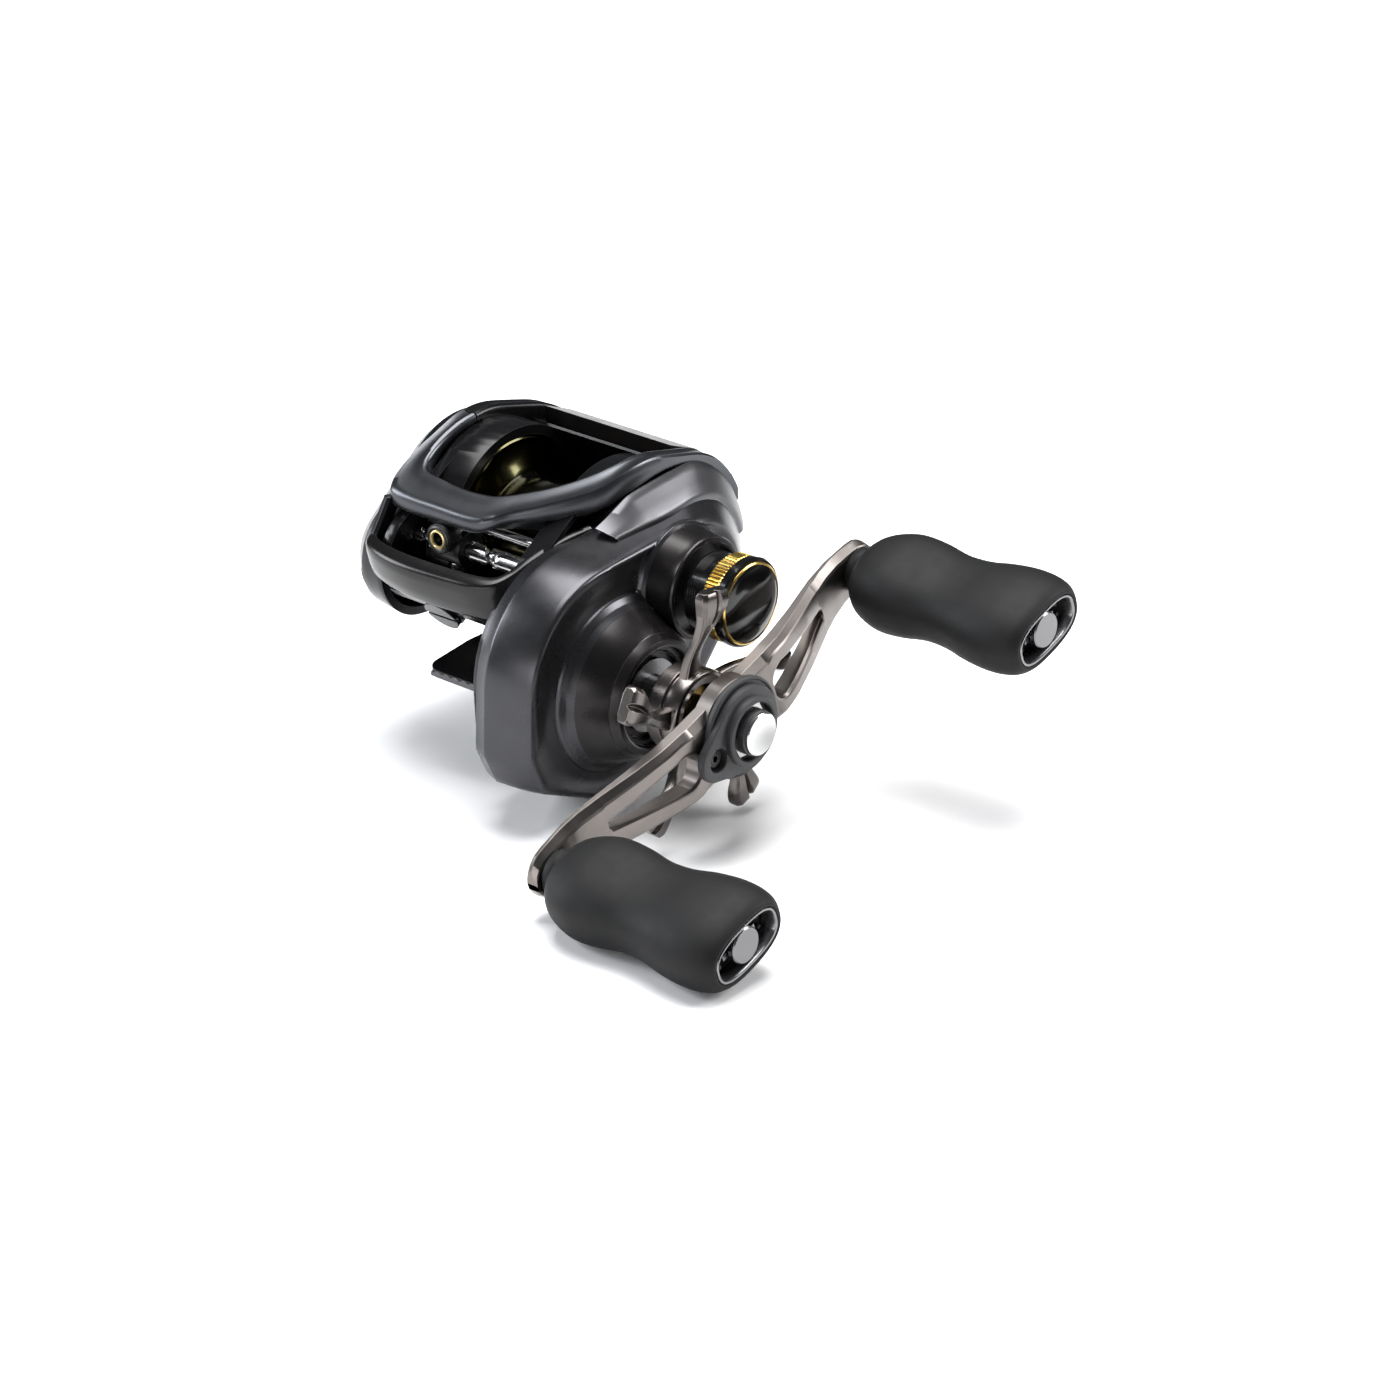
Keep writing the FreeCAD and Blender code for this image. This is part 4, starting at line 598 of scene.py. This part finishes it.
# inner top edge, outer ridge and lower front edge of the lip, from the palm side round to the gear side
LIP_STATIONS = [
    (-20.0, -24.2, 25.9, -21.5, -25.0, 25.0, -20.9, -26.0, 18.6),
    (-19.9, -27.2, 25.5, -21.2, -28.6, 24.5, -20.2, -28.8, 18.2),
    (-17.9, -29.9, 25.2, -18.9, -31.9, 24.2, -17.9, -30.7, 17.6),
    (-13.4, -31.4, 25.1, -13.8, -33.9, 23.9, -13.1, -31.8, 16.9),
    (-7.0, -32.1, 25.1, -7.0, -34.8, 23.7, -6.6, -32.3, 16.5),
    (2.0, -31.9, 25.1, 2.2, -34.5, 23.8, 2.6, -32.0, 16.5),
    (8.4, -31.3, 25.2, 9.2, -33.8, 24.1, 9.4, -31.6, 16.8),
    (11.6, -30.1, 25.4, 12.8, -32.0, 24.6, 13.0, -30.7, 17.4),
    (12.9, -27.8, 26.2, 14.4, -28.8, 25.6, 15.4, -28.9, 20.6),
    (14.0, -24.8, 27.8, 15.6, -25.3, 27.2, 16.8, -25.8, 24.0),
    (15.4, -20.8, 29.5, 16.9, -21.2, 28.9, 17.6, -21.6, 26.8),
    (17.0, -16.6, 30.9, 18.5, -16.9, 30.3, 18.5, -17.2, 28.6),
    (18.9, -12.6, 31.9, 20.2, -12.9, 31.4, 19.8, -13.0, 30.0)]


def lip_section(*row):
    """One cross-section of the lip: inner wall, bevelled top, ridge, front face and back."""
    top, ridge, low = Vector(row[0:3]), Vector(row[3:6]), Vector(row[6:9])
    out = Vector((ridge.x - top.x, ridge.y - top.y, 0.0)).normalized()
    rise = Vector((0.0, 0.0, 1.0))
    drop = min(2.4, 0.5 * (top.z - low.z))
    shelf = top.lerp(ridge, 0.18)
    return [tuple(point) for point in (
        top - drop * rise, top - 0.45 * rise, top - 0.1 * rise + 0.12 * out, shelf + 0.06 * rise,
        top.lerp(ridge, 0.8) + 0.14 * rise, ridge + 0.02 * rise - 0.12 * out,
        ridge - 0.45 * rise + 0.05 * out, ridge.lerp(low, 0.3) + 0.30 * out,
        ridge.lerp(low, 0.65) + 0.32 * out, ridge.lerp(low, 0.93) + 0.1 * out,
        low - 0.25 * out, low - 1.3 * out + 0.25 * rise, low.lerp(top, 0.4) - 0.9 * out)]


def make_lip():
    """Front lip: a bar under the window, round at the palm corner, that climbs to the gear side."""
    loops = [lip_section(*row) for row in flowing(LIP_STATIONS, 6)]
    skinned("lip_bar", loops, "reel_body", "lip_grey", "front_lip", sharp=40)


# ---------------------------------------------------------------- crank, cover, cap
# distance from the drive axis, and x of the arm's outer or inner face there
CRANK_OUTER = [(0.0, 58.5), (12.0, 58.5), (17.0, 57.9), (24.0, 56.1), (31.0, 53.9), (36.0, 52.6),
               (40.0, 52.0), (60.0, 52.0)]
CRANK_INNER = [(0.0, 54.5), (12.0, 54.5), (17.0, 54.0), (24.0, 52.7), (33.0, 50.5), (39.0, 49.6),
               (60.0, 49.5)]
# the arm narrows from its hub to the round eye at the knob
HUB_END, HUB_HALF_WIDTH = 13.0, 7.7
EYE_MIDDLE, EYE_RADIUS = 45.0, 5.2
# the long window has a wide round end near the hub and a slim one toward the knob
WINDOW_START, WIDE_MIDDLE, WIDE_RADIUS = 10.9, 14.5, 3.6
WINDOW_END, SLIM_MIDDLE, SLIM_RADIUS = 31.9, 31.0, 0.9
CRANK_STATIONS = sorted(
    [4.0, 7.0, 9.5, 10.9, 11.0, 11.3, 11.8, 12.6, 13.5, 14.5, 31.0, 31.4, 31.7, 31.9, 40.0, 42.5, 45.0,
     47.0, 48.4, 49.3, 49.9, 50.15]
    + [16.0 + 1.5 * step for step in range(10)] + [33.0 + 1.5 * step for step in range(5)])
# corner of a rail's cross-section where the window's wall starts
WINDOW_CORNER = 6


def on_curve(table, along):
    """A table's value at a distance, straight between its points."""
    for (first, low), (second, high) in zip(table, table[1:]):
        if along <= second:
            share = (along - first) / (second - first)
            return low + (high - low) * share
    return table[-1][1]


def crank_half_width(along):
    """Half the arm's width at a distance from the drive axis."""
    if along > EYE_MIDDLE:
        return math.sqrt(max(EYE_RADIUS ** 2 - (along - EYE_MIDDLE) ** 2, 0.0))
    if along > HUB_END:
        share = (along - HUB_END) / (EYE_MIDDLE - HUB_END)
        return HUB_HALF_WIDTH + (EYE_RADIUS - HUB_HALF_WIDTH) * share
    return HUB_HALF_WIDTH


def window_half_width(along):
    """Half the width of the arm's long window, 0 where there is none."""
    if along < WINDOW_START or along > WINDOW_END:
        return 0.0
    if along < WIDE_MIDDLE:
        return math.sqrt(max(WIDE_RADIUS ** 2 - (WIDE_MIDDLE - along) ** 2, 0.0))
    if along > SLIM_MIDDLE:
        return math.sqrt(max(SLIM_RADIUS ** 2 - (along - SLIM_MIDDLE) ** 2, 0.0))
    share = (along - WIDE_MIDDLE) / (SLIM_MIDDLE - WIDE_MIDDLE)
    return WIDE_RADIUS + (SLIM_RADIUS - WIDE_RADIUS) * share


def crank_place(side, along, across, x):
    """The point on one arm: distance along it, distance across it, and x."""
    y = DRIVE[0] + side * (along * math.cos(CRANK) - across * math.sin(CRANK))
    z = DRIVE[1] + side * (along * math.sin(CRANK) + across * math.cos(CRANK))
    return (x, y, z)


def crank_rail(side, hand, along):
    """Cross-section of one rail of an arm: flank, outer bevel, crowned face, inner bevel, window wall."""
    wide, gap = crank_half_width(along), window_half_width(along)
    outer, inner = on_curve(CRANK_OUTER, along), on_curve(CRANK_INNER, along)
    land = max(wide - gap, 0.02)
    fade = min(1.0, gap / 0.8)
    tip = min(1.0, land / 3.0)
    spots = [(wide, inner + 0.35), (wide, outer - 1.5 * tip), (gap + 0.80 * land, outer - 0.35 * tip),
             (gap + 0.70 * land, outer - 0.12 * tip), (gap + 0.22 * land, outer),
             (gap + 0.10 * land, outer - 0.15 * fade), (gap, outer - 0.6 * fade), (gap, inner + 0.2 * fade),
             (gap + 0.15 * land, inner), (wide - 0.35 * tip, inner)]
    return [crank_place(side, along, hand * across, x) for across, x in spots]


def make_rail(bm, side, hand):
    """One rail of an arm, left open toward its twin where there is no window between them."""
    rings = [[bm.verts.new(point) for point in crank_rail(side, hand, along)] for along in CRANK_STATIONS]
    for number, (first, second) in enumerate(zip(rings, rings[1:])):
        walled = any(window_half_width(along) > 0 for along in CRANK_STATIONS[number:number + 2])
        for here in range(len(first)):
            there = (here + 1) % len(first)
            if here != WINDOW_CORNER or walled:
                bm.faces.new((first[here], first[there], second[there], second[here]))


def make_crank():
    """Swept double crank: hub disc and, on each side, two crowned rails round a long window."""
    bm = bmesh.new()
    for side in (-1, 1):
        for hand in (-1, 1):
            make_rail(bm, side, hand)
    turned(bm, DRIVE, [(54.45, 3.0), (54.45, 9.0), (54.75, 9.3), (57.9, 9.3), (58.5, 8.8), (58.6, 8.0),
                       (58.6, 3.0)], steps=72)
    for centre in KNOBS.values():
        turned(bm, centre, [(49.3, 1.5), (49.3, 3.6), (48.7, 3.4), (48.5, 2.6), (48.5, 1.5)], steps=48)
    finish("crank_arms", bm, "drive", "crank_titanium", "crank", sharp=17, bevel=0.12)


# (y, z) of the screw in the nut cover's tab
COVER_TAB = polar(DRIVE, -8.9, CRANK + 0.02)


def make_nut_cover():
    """Stacked round cover, and a tab with the hole for its screw."""
    bm = bmesh.new()
    turned(bm, DRIVE, [(58.4, 5.5), (58.4, 9.5), (58.55, 9.7), (59.25, 9.7), (59.5, 9.5), (59.55, 9.2),
                       (59.3, 9.0), (59.3, 6.6), (61.9, 6.6), (62.2, 6.4), (62.3, 6.1), (62.3, 5.7),
                       (62.1, 5.5), (61.3, 5.4)])
    turns = full_turn(72)
    circles = [COVER_TAB + (4.3,), DRIVE + (8.4,)]
    loops = []
    for x, amount in ((59.2, 0.25), (59.6, 0.0), (60.5, 0.0), (60.8, 0.2), (60.9, 0.5)):
        outline = shrink(circles, amount)
        loops.append([(x,) + polar(COVER_TAB, belt_reach(outline, COVER_TAB, turn), turn)
                      for turn in turns])
    for x, radius in ((60.9, 2.6), (60.75, 2.35), (59.6, 2.25), (59.2, 2.2)):
        loops.append(circle(x, COVER_TAB, radius, len(turns)))
    skin(bm, loops, wrap=True)
    finish("nut_cover_shell", bm, "drive", "cover_charcoal", "nut_cover", sharp=30)


def make_cover_screw():
    """Small screw in the tab, with a six-pointed socket."""
    loops = []
    for x, reach, cut in ((58.6, 1.7, 0.0), (59.7, 1.7, 0.0), (59.9, 1.5, 0.0), (59.9, 0.85, 0.25),
                          (59.3, 0.75, 0.25), (59.3, 0.0, 0.25)):
        loops.append([(x,) + polar(COVER_TAB, reach * (1 - cut * (step % 2)), turn)
                      for step, turn in enumerate(full_turn(12))])
    skinned("cover_screw", loops, "drive", "screw_dark", "nut_cover_screw", ends=False, sharp=30)


def make_spun_cap():
    """Cap on the handle nut: dark side and bright rounded face."""
    bm = bmesh.new()
    turned(bm, DRIVE, [(61.0, 0.0), (61.0, 4.35), (63.0, 4.3), (63.2, 4.1), (63.75, 4.05)], wrap=False,
           paint=1)
    turned(bm, DRIVE, [(63.75, 4.05), (63.95, 3.85), (64.0, 3.6), (64.0, 0.0)], wrap=False)
    finish("spun_cap", bm, "drive", "cap_silver", "nut_cap", sharp=25, second="cover_charcoal")


# ---------------------------------------------------------------- star wheel
# along one arm: distance from the drive axis, lean in radians, half width, x of the middle, half depth
STAR_PATH = [(6.3, 0.28, 2.9, 48.8, 0.8), (8.0, 0.26, 2.3, 48.2, 1.2), (11.5, 0.20, 1.5, 48.6, 1.1),
             (15.0, 0.12, 1.25, 49.7, 1.1), (18.0, 0.05, 2.0, 50.5, 1.3), (20.5, 0.0, 3.1, 50.6, 1.6),
             (22.8, -0.01, 3.6, 50.5, 1.6), (23.9, -0.01, 3.1, 50.4, 1.2)]
# round an arm's section: share of the half width, share of the half depth, share of the pad's groove
STAR_SECTION = [(-1.0, -0.75, 0), (-1.0, 0.35, 0), (-0.82, 0.85, 0), (-0.2, 1.0, 0), (0.0, 1.0, 1),
                (0.2, 1.0, 0), (0.82, 0.85, 0), (1.0, 0.35, 0), (1.0, -0.75, 0), (0.6, -1.0, 0),
                (-0.6, -1.0, 0)]
# number of arms, and direction of the first in degrees
STAR_ARMS, FIRST_ARM = 5, 157.0


def make_star():
    """Star drag wheel: grooved hub and five swept arms whose pads have a groove down the middle."""
    bm = bmesh.new()
    turned(bm, DRIVE, [(43.2, 5.7), (43.2, 7.9), (43.5, 8.2), (46.4, 8.2), (46.6, 7.7), (47.1, 7.7),
                       (47.3, 8.2), (49.6, 8.2), (50.2, 7.9), (50.4, 7.3), (50.2, 6.6), (50.0, 5.7)],
           steps=72)
    for arm in range(STAR_ARMS):
        turn = math.radians(FIRST_ARM - 360.0 / STAR_ARMS * arm)
        loops = []
        for reach, lean, half, x, deep in flowing(STAR_PATH, 3):
            groove = 0.75 * max(0.0, min(1.0, (reach - 17.0) / 3.0))
            loops.append([(x + (out - groove * dip) * deep,)
                          + polar(DRIVE, reach, turn + lean + across * half / reach)
                          for across, out, dip in STAR_SECTION])
        skin(bm, loops)
    finish("star_wheel_arms", bm, "star_wheel", "star_gunmetal", "star_drag", sharp=34, bevel=0.10)


# ---------------------------------------------------------------- knobs
# x, half width along the crank, half thickness, squareness
KNOB_SECTIONS = [
    (54.2, 3.9, 3.5, 2.1), (54.4, 5.4, 4.3, 2.1), (55.2, 7.0, 5.5, 2.2), (56.9, 8.5, 6.5, 2.3),
    (59.6, 9.6, 7.1, 2.5), (63.0, 10.2, 7.3, 2.7), (67.8, 10.0, 6.8, 2.8), (73.0, 9.3, 6.1, 2.7),
    (78.0, 9.6, 6.2, 2.6), (83.0, 10.7, 6.9, 2.5), (87.6, 11.2, 7.2, 2.5), (91.2, 11.1, 7.0, 2.5),
    (93.8, 10.5, 6.4, 2.5), (95.1, 9.7, 5.7, 2.5), (95.6, 9.1, 5.1, 2.6)]
# x of the knob's end, and the squareness of the hollow in it
KNOB_END, RIM_SQUARE = 95.7, 2.8


def crank_turned(centre, along, across):
    """The (y, z) at distances from a centre along the crank and across it."""
    return (centre[0] + along * math.cos(CRANK) - across * math.sin(CRANK),
            centre[1] + along * math.sin(CRANK) + across * math.cos(CRANK))


def knob_point(centre, x, wide, thick, square, turn):
    """A point on a rounded, flattened section whose long axis lies along the crank."""
    along = math.copysign(abs(math.cos(turn)) ** (2 / square), math.cos(turn)) * wide
    across = math.copysign(abs(math.sin(turn)) ** (2 / square), math.sin(turn)) * thick
    return (x,) + crank_turned(centre, along, across)


def knob_ring(centre, x, wide, thick, square):
    """One such section, as a loop of points."""
    return [knob_point(centre, x, wide, thick, square, turn) for turn in full_turn(72)]


def make_grip(which):
    """Paddle knob with a waist and a hollow end, and the dark collar between it and the crank."""
    centre = KNOBS[which]
    loops = [knob_ring(centre, *row) for row in flowing(KNOB_SECTIONS, 4)]
    for depth, wide, thick in ((0.05, 8.75, 4.75), (0.2, 8.5, 4.5), (3.5, 8.4, 4.4)):
        loops.append(knob_ring(centre, KNOB_END - depth, wide, thick, 2.7))
    bm = bmesh.new()
    skin(bm, loops)
    turned(bm, centre, [(52.2, 2.3), (52.2, 4.2), (52.4, 4.4), (54.1, 4.4), (54.5, 4.1), (54.5, 2.3)],
           steps=48)
    finish("grip_" + which, bm, which + "_knob", "knob_rubber", "knob_" + which, "knob_bushings_" + which,
           sharp=50)


def make_knob_rim(which):
    """Polished rim in the knob's end."""
    rim = [(3.3, 8.35, 4.35), (0.25, 8.35, 4.35), (0.05, 8.2, 4.2), (0.1, 7.85, 3.9), (0.4, 7.65, 3.7),
           (4.1, 7.5, 3.55)]
    loops = [knob_ring(KNOBS[which], KNOB_END - depth, wide, thick, RIM_SQUARE)
             for depth, wide, thick in rim]
    skinned("rim_" + which, loops, which + "_knob", "knob_trim", "knob_cap_" + which, wrap=True, sharp=40)


def make_knob_well(which):
    """Dark floor of the hollow inside the rim, with four small pegs."""
    centre = KNOBS[which]
    bm = bmesh.new()
    skin(bm, [knob_ring(centre, KNOB_END - depth, 7.7, 3.75, RIM_SQUARE) for depth in (4.5, 3.9)])
    peg = [(KNOB_END - depth, radius)
           for depth, radius in ((4.1, 0.0), (4.1, 0.45), (2.2, 0.4), (2.1, 0.0))]
    for along in (-5.6, 5.6):
        for across in (-1.2, 1.2):
            turned(bm, crank_turned(centre, along, across), peg, steps=12, wrap=False)
    finish("well_" + which, bm, which + "_knob", "plastic_black", "knob_cap_" + which, sharp=40)


def make_knob_disc(which):
    """Bright disc in the middle of the hollow, carried by two bars."""
    centre = KNOBS[which]
    bm = bmesh.new()
    disc = [(4.1, 0.0), (4.1, 2.0), (1.9, 2.1), (1.7, 3.3), (0.6, 3.45), (0.35, 3.2), (0.3, 0.0)]
    turned(bm, centre, [(KNOB_END - depth, radius) for depth, radius in disc], steps=64, wrap=False)
    for start in (math.pi, 0.0):
        loops = []
        for depth in (3.7, 2.1):
            loops.append([knob_point(centre, KNOB_END - depth, wide, 0.7, 2.0, start + lean)
                          for wide, lean in ((7.2, 0.9), (7.2, -0.9), (1.5, -0.9), (1.5, 0.9))])
        skin(bm, loops)
    finish("disc_" + which, bm, which + "_knob", "knob_trim", "knob_cap_" + which, sharp=35)


# ---------------------------------------------------------------- cast control and spool
def make_cast_control():
    """Cast-control cap: grooved gloss barrel, knurled gold ring, black rim, thin gold ring and dome."""
    barrel = [(37.4, 6.0), (37.4, 7.4), (37.6, 7.6)]
    for groove in range(4):
        x = 37.9 + 0.55 * groove
        barrel += [(x, 7.6), (x + 0.08, 7.42), (x + 0.26, 7.42), (x + 0.34, 7.6)]
    barrel += [(41.7, 7.6), (41.95, 7.9), (45.05, 7.9), (45.1, 8.3), (45.35, 8.6), (46.5, 8.6),
               (46.9, 8.35), (47.05, 7.95), (46.95, 7.75), (47.05, 7.4), (47.35, 7.3), (47.75, 6.3),
               (47.95, 4.0), (48.0, 0.0), (45.5, 0.0), (45.5, 6.0)]
    bm = bmesh.new()
    turned(bm, SPOOL, barrel, steps=120, wrap=False)
    finish("cap_barrel", bm, "cast_control", "cast_black", "cast_cap", sharp=24)
    loops = knurled(SPOOL, ((42.05, 7.8, 0.0), (42.05, 8.25, 0.0), (42.25, 8.45, 0.22), (44.7, 8.45, 0.22),
                            (44.95, 8.25, 0.0), (44.95, 7.8, 0.0)), 216)
    skinned("cap_knurl", loops, "cast_control", "gold", "cast_grip_ring", wrap=True, sharp=25)
    bm = bmesh.new()
    turned(bm, SPOOL, [(46.9, 7.35), (46.9, 7.85), (47.25, 7.85), (47.4, 7.65), (47.35, 7.4)], steps=120)
    finish("cap_accent", bm, "cast_control", "gold", "cast_accent_ring", sharp=30)


def make_brake_dial():
    """Brake dial: plain flange low in its pocket and a smaller knurled wheel with a shallow dish."""
    rows = ((-26.1, 8.4, 0.0), (-28.3, 8.4, 0.0), (-28.6, 8.1, 0.0), (-28.6, 7.1, 0.0),
            (-28.75, 7.1, 0.25), (-29.25, 7.0, 0.25), (-29.5, 6.6, 0.0), (-29.5, 6.1, 0.0),
            (-29.2, 5.7, 0.0), (-29.2, 0.5, 0.0))
    skinned("dial_wheel", knurled(BRAKE_DIAL, rows, 180), "brake_wheel", "plastic_black", "brake_dial",
            sharp=25)


def make_spool():
    """Spool: flanges with rounded rims and dished faces, and a drum with shallow steps."""
    # half a spool, from the drum to the bore, with x measured from the spool's middle
    half = [(8.6, 11.9), (9.4, 13.2), (10.2, 15.8), (10.35, 16.5), (10.25, 16.9), (10.45, 17.2),
            (10.8, 17.3), (11.2, 17.3), (11.5, 17.0), (11.5, 15.9), (11.2, 15.4), (11.0, 9.0), (9.8, 8.0),
            (9.8, 3.4)]
    left = [(-x, radius) for x, radius in half]
    right = [(x + 0.35, radius) for x, radius in half]
    drum = [(-8.2, 11.0), (-0.6, 10.9), (0.6, 10.9), (8.5, 11.0)]
    bm = bmesh.new()
    turned(bm, SPOOL, left[::-1] + drum + right, steps=128)
    finish("spool_drum", bm, "spool_set", "spool_bronze", "spool", sharp=28)


# ---------------------------------------------------------------- level wind and carried-over pieces
WORM_PITCH = 8.0
WORM_RADIUS, WORM_SHOULDER, WORM_JOURNAL = 1.8, 1.75, 1.2
GROOVE_DEPTH, GROOVE_HALF_WIDTH = 0.5, 0.62
GROOVE_START, GROOVE_LENGTH, GROOVE_STEPS = -14.4, 22.8, 150


def worm_radius(x, turn):
    """Radius of the worm shaft in one direction at x, with a groove of each hand cut into it."""
    cut = 0.0
    for hand in (-1, 1):
        off = (turn - hand * 2 * math.pi * x / WORM_PITCH + math.pi) % (2 * math.pi) - math.pi
        cut = max(cut, GROOVE_DEPTH * (1.0 - (off / GROOVE_HALF_WIDTH) ** 4))
    return WORM_RADIUS - cut


def make_worm():
    """Worm shaft with its two crossed grooves and plain journals."""
    steps = 72
    low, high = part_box("worm_shaft")
    first, last = low.x / MM, high.x / MM
    loops = [circle(first, WORM, WORM_JOURNAL, steps), circle(-16.6, WORM, WORM_JOURNAL, steps),
             circle(-16.5, WORM, WORM_SHOULDER, steps)]
    for number in range(GROOVE_STEPS + 1):
        x = GROOVE_START + GROOVE_LENGTH * number / GROOVE_STEPS
        loops.append([(x,) + polar(WORM, worm_radius(x, turn), turn) for turn in full_turn(steps)])
    loops += [circle(min(13.6, last - 1.0), WORM, WORM_SHOULDER, steps),
              circle(min(13.7, last - 0.9), WORM, WORM_JOURNAL, steps),
              circle(last, WORM, WORM_JOURNAL, steps)]
    skinned("worm_screw", loops, "worm", "shaft_steel", "worm_shaft", sharp=40)


def make_guide_ring():
    """Pale gold hard ring with a round lip, seated in a black outer ring."""
    low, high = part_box("line_guide_ring")
    middle = (low + high) * (0.5 / MM)
    front = low.y / MM
    # depth behind the front, and radius
    lip = [(0.6, 1.36), (0.2, 1.38), (0.02, 1.48), (0.0, 1.62), (0.1, 1.8), (0.35, 1.87), (0.6, 1.87)]
    seat = [(2.2, 1.37), (0.5, 1.37), (0.5, 1.86), (0.3, 1.9), (0.18, 2.05), (0.12, 2.3), (0.3, 2.62),
            (0.6, 2.7), (2.2, 2.7)]
    for name, slot_name, profile in (("guide_ring_lip", "guide_gold", lip),
                                     ("guide_ring_seat", "plastic_black", seat)):
        loops = []
        for depth, radius in profile:
            loops.append([(middle.x + radius * math.cos(turn), front + depth,
                           middle.z + radius * math.sin(turn)) for turn in full_turn(64)])
        skinned(name, loops, "guide_carriage", slot_name, "line_guide_ring", wrap=True, sharp=40)


def make_painted_shade_wall():
    """Thin curved black wall behind the spool, under the thumb bar: painted shade that fills the reel's
    shadowed inside there.
    """
    steps = 40
    section = ((-16.9, 20.0), (-16.9, 20.5), (15.9, 20.5), (16.0, 20.4), (16.0, 20.1), (15.9, 20.0))
    loops = []
    for step in range(steps + 1):
        turn = math.radians(-20.0 + 70.0 * step / steps)
        loops.append([(x,) + polar(SPOOL, radius, turn) for x, radius in section])
    # a near-black sheet as painted shade, so the shadowed inside behind the spool reads dark
    skinned("painted_shade_wall", loops, "reel_body", "frame_black", sharp=30)


def make_toe_ridge_highlight():
    """Scalloped ridged edge along the front toe of the foot; its lighter grey is a painted highlight."""
    half_length, wave, steps = 5.9, 2.2, 60
    loops = []
    for step in range(steps + 1):
        x = half_length * (2.0 * step / steps - 1.0)
        scallop = 0.22 * math.cos(2 * math.pi * x / wave)
        loops.append([(x, FOOT_FRONT + back, z) for back, z in (
            (0.5, 0.06), (-0.1, 0.14), (-0.18, 0.6), (-0.1, 1.1 + scallop), (0.5, 1.35 + scallop))])
    # lighter grey than the black foot: painted highlight along the ridged toe
    skinned("toe_ridge_highlight", loops, "reel_body", "strip_grey", sharp=40)


def soften_cad_nodes():
    """Small rounded edges on the CAD pieces that stay in sight."""
    for node, width in (("frame", 0.25), ("palm_side_plate", 0.3), ("thumb_bar", 0.3), ("line_guide", 0.2),
                        ("side_plate_screw", 0.15), ("pawl_cap", 0.1)):
        piece = frame["nodes"][node]
        joined = piece.modifiers.new("joined", "WELD")
        joined.merge_threshold = 0.002 * MM
        soften(piece, width, sharp=30.0)


make_gear_case()
make_boss_and_collar()
make_side_strip()
make_hood()
make_window_cheek()
make_lip()
make_crank()
make_nut_cover()
make_cover_screw()
make_spun_cap()
make_star()
for which_knob in KNOBS:
    make_grip(which_knob)
    make_knob_rim(which_knob)
    make_knob_well(which_knob)
    make_knob_disc(which_knob)
make_cast_control()
make_brake_dial()
make_spool()
make_worm()
make_guide_ring()
make_painted_shade_wall()
make_toe_ridge_highlight()
soften_cad_nodes()


# ---------------------------------------------------------------- floor, light and camera
def area_light(name, place, aim, size, power, colour=(1.0, 1.0, 1.0)):
    """A soft box: a rectangular lamp that faces a point."""
    lamp = bpy.data.lights.new(name, "AREA")
    lamp.shape = "RECTANGLE"
    lamp.size, lamp.size_y = size
    lamp.energy = power
    lamp.color = colour
    holder = bpy.data.objects.new(name, lamp)
    bpy.context.scene.collection.objects.link(holder)
    holder.location = place
    holder.rotation_euler = (Vector(aim) - Vector(place)).to_track_quat("-Z", "Y").to_euler()


def make_floor():
    """A plain pale floor just under the lowest point of the reel."""
    gap = 0.2 * MM
    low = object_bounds()[0].z - gap
    half = 6.0
    mesh = bpy.data.meshes.new("floor")
    mesh.from_pydata([(-half, -half, low), (half, -half, low), (half, half, low), (-half, half, low)],
                     [], [(0, 1, 2, 3)])
    floor = bpy.data.objects.new("floor", mesh)
    bpy.context.scene.collection.objects.link(floor)
    paint = Paint("floor_paper")
    paint.set(base_color=paint.mixed(paint.noise(3.0), (0.93, 0.93, 0.935, 1), (0.96, 0.96, 0.96, 1)))
    paint.set(roughness=0.9)
    floor.data.materials.append(paint.material)


def make_world():
    """Even, dim surroundings, so that the soft boxes shape the metal."""
    world = bpy.data.worlds.new("studio")
    bpy.context.scene.world = world
    world.use_nodes = True
    world.node_tree.nodes["Background"].inputs[0].default_value = (0.85, 0.9, 1.0, 1.0)
    world.node_tree.nodes["Background"].inputs[1].default_value = 0.09


def make_camera():
    """A long lens at 40 degrees round from the front and 25 degrees up."""
    turn, rise = math.radians(40.0), math.radians(25.0)
    back = Vector((math.sin(turn) * math.cos(rise), -math.cos(turn) * math.cos(rise), math.sin(rise)))
    lens = bpy.data.cameras.new("camera")
    lens.sensor_width = 36.0
    lens.lens = 128.57
    lens.clip_start, lens.clip_end = 0.05, 30.0
    camera = bpy.data.objects.new("camera", lens)
    camera.location = (0.5762, -0.6449, 0.3895)
    camera.rotation_euler = (-back).to_track_quat("-Z", "Y").to_euler()
    bpy.context.scene.collection.objects.link(camera)
    bpy.context.scene.camera = camera


def make_lights():
    """Soft boxes: overhead, front left, right rear, and a dim one that fills the front."""
    middle = (0.02, 0.0, 0.02)
    area_light("overhead", (-0.05, 0.10, 0.75), middle, (0.55, 0.55), 11.0)
    area_light("front_left", (-0.75, -0.45, 0.40), middle, (0.35, 0.6), 9.0, (0.93, 0.96, 1.0))
    area_light("right_rear", (0.55, 0.55, 0.45), middle, (0.3, 0.4), 6.0)
    area_light("front_fill", (0.1, -0.9, 0.15), middle, (0.8, 0.25), 2.5)


make_floor()
make_world()
make_lights()
make_camera()
bpy.context.scene.view_settings.view_transform = "Standard"
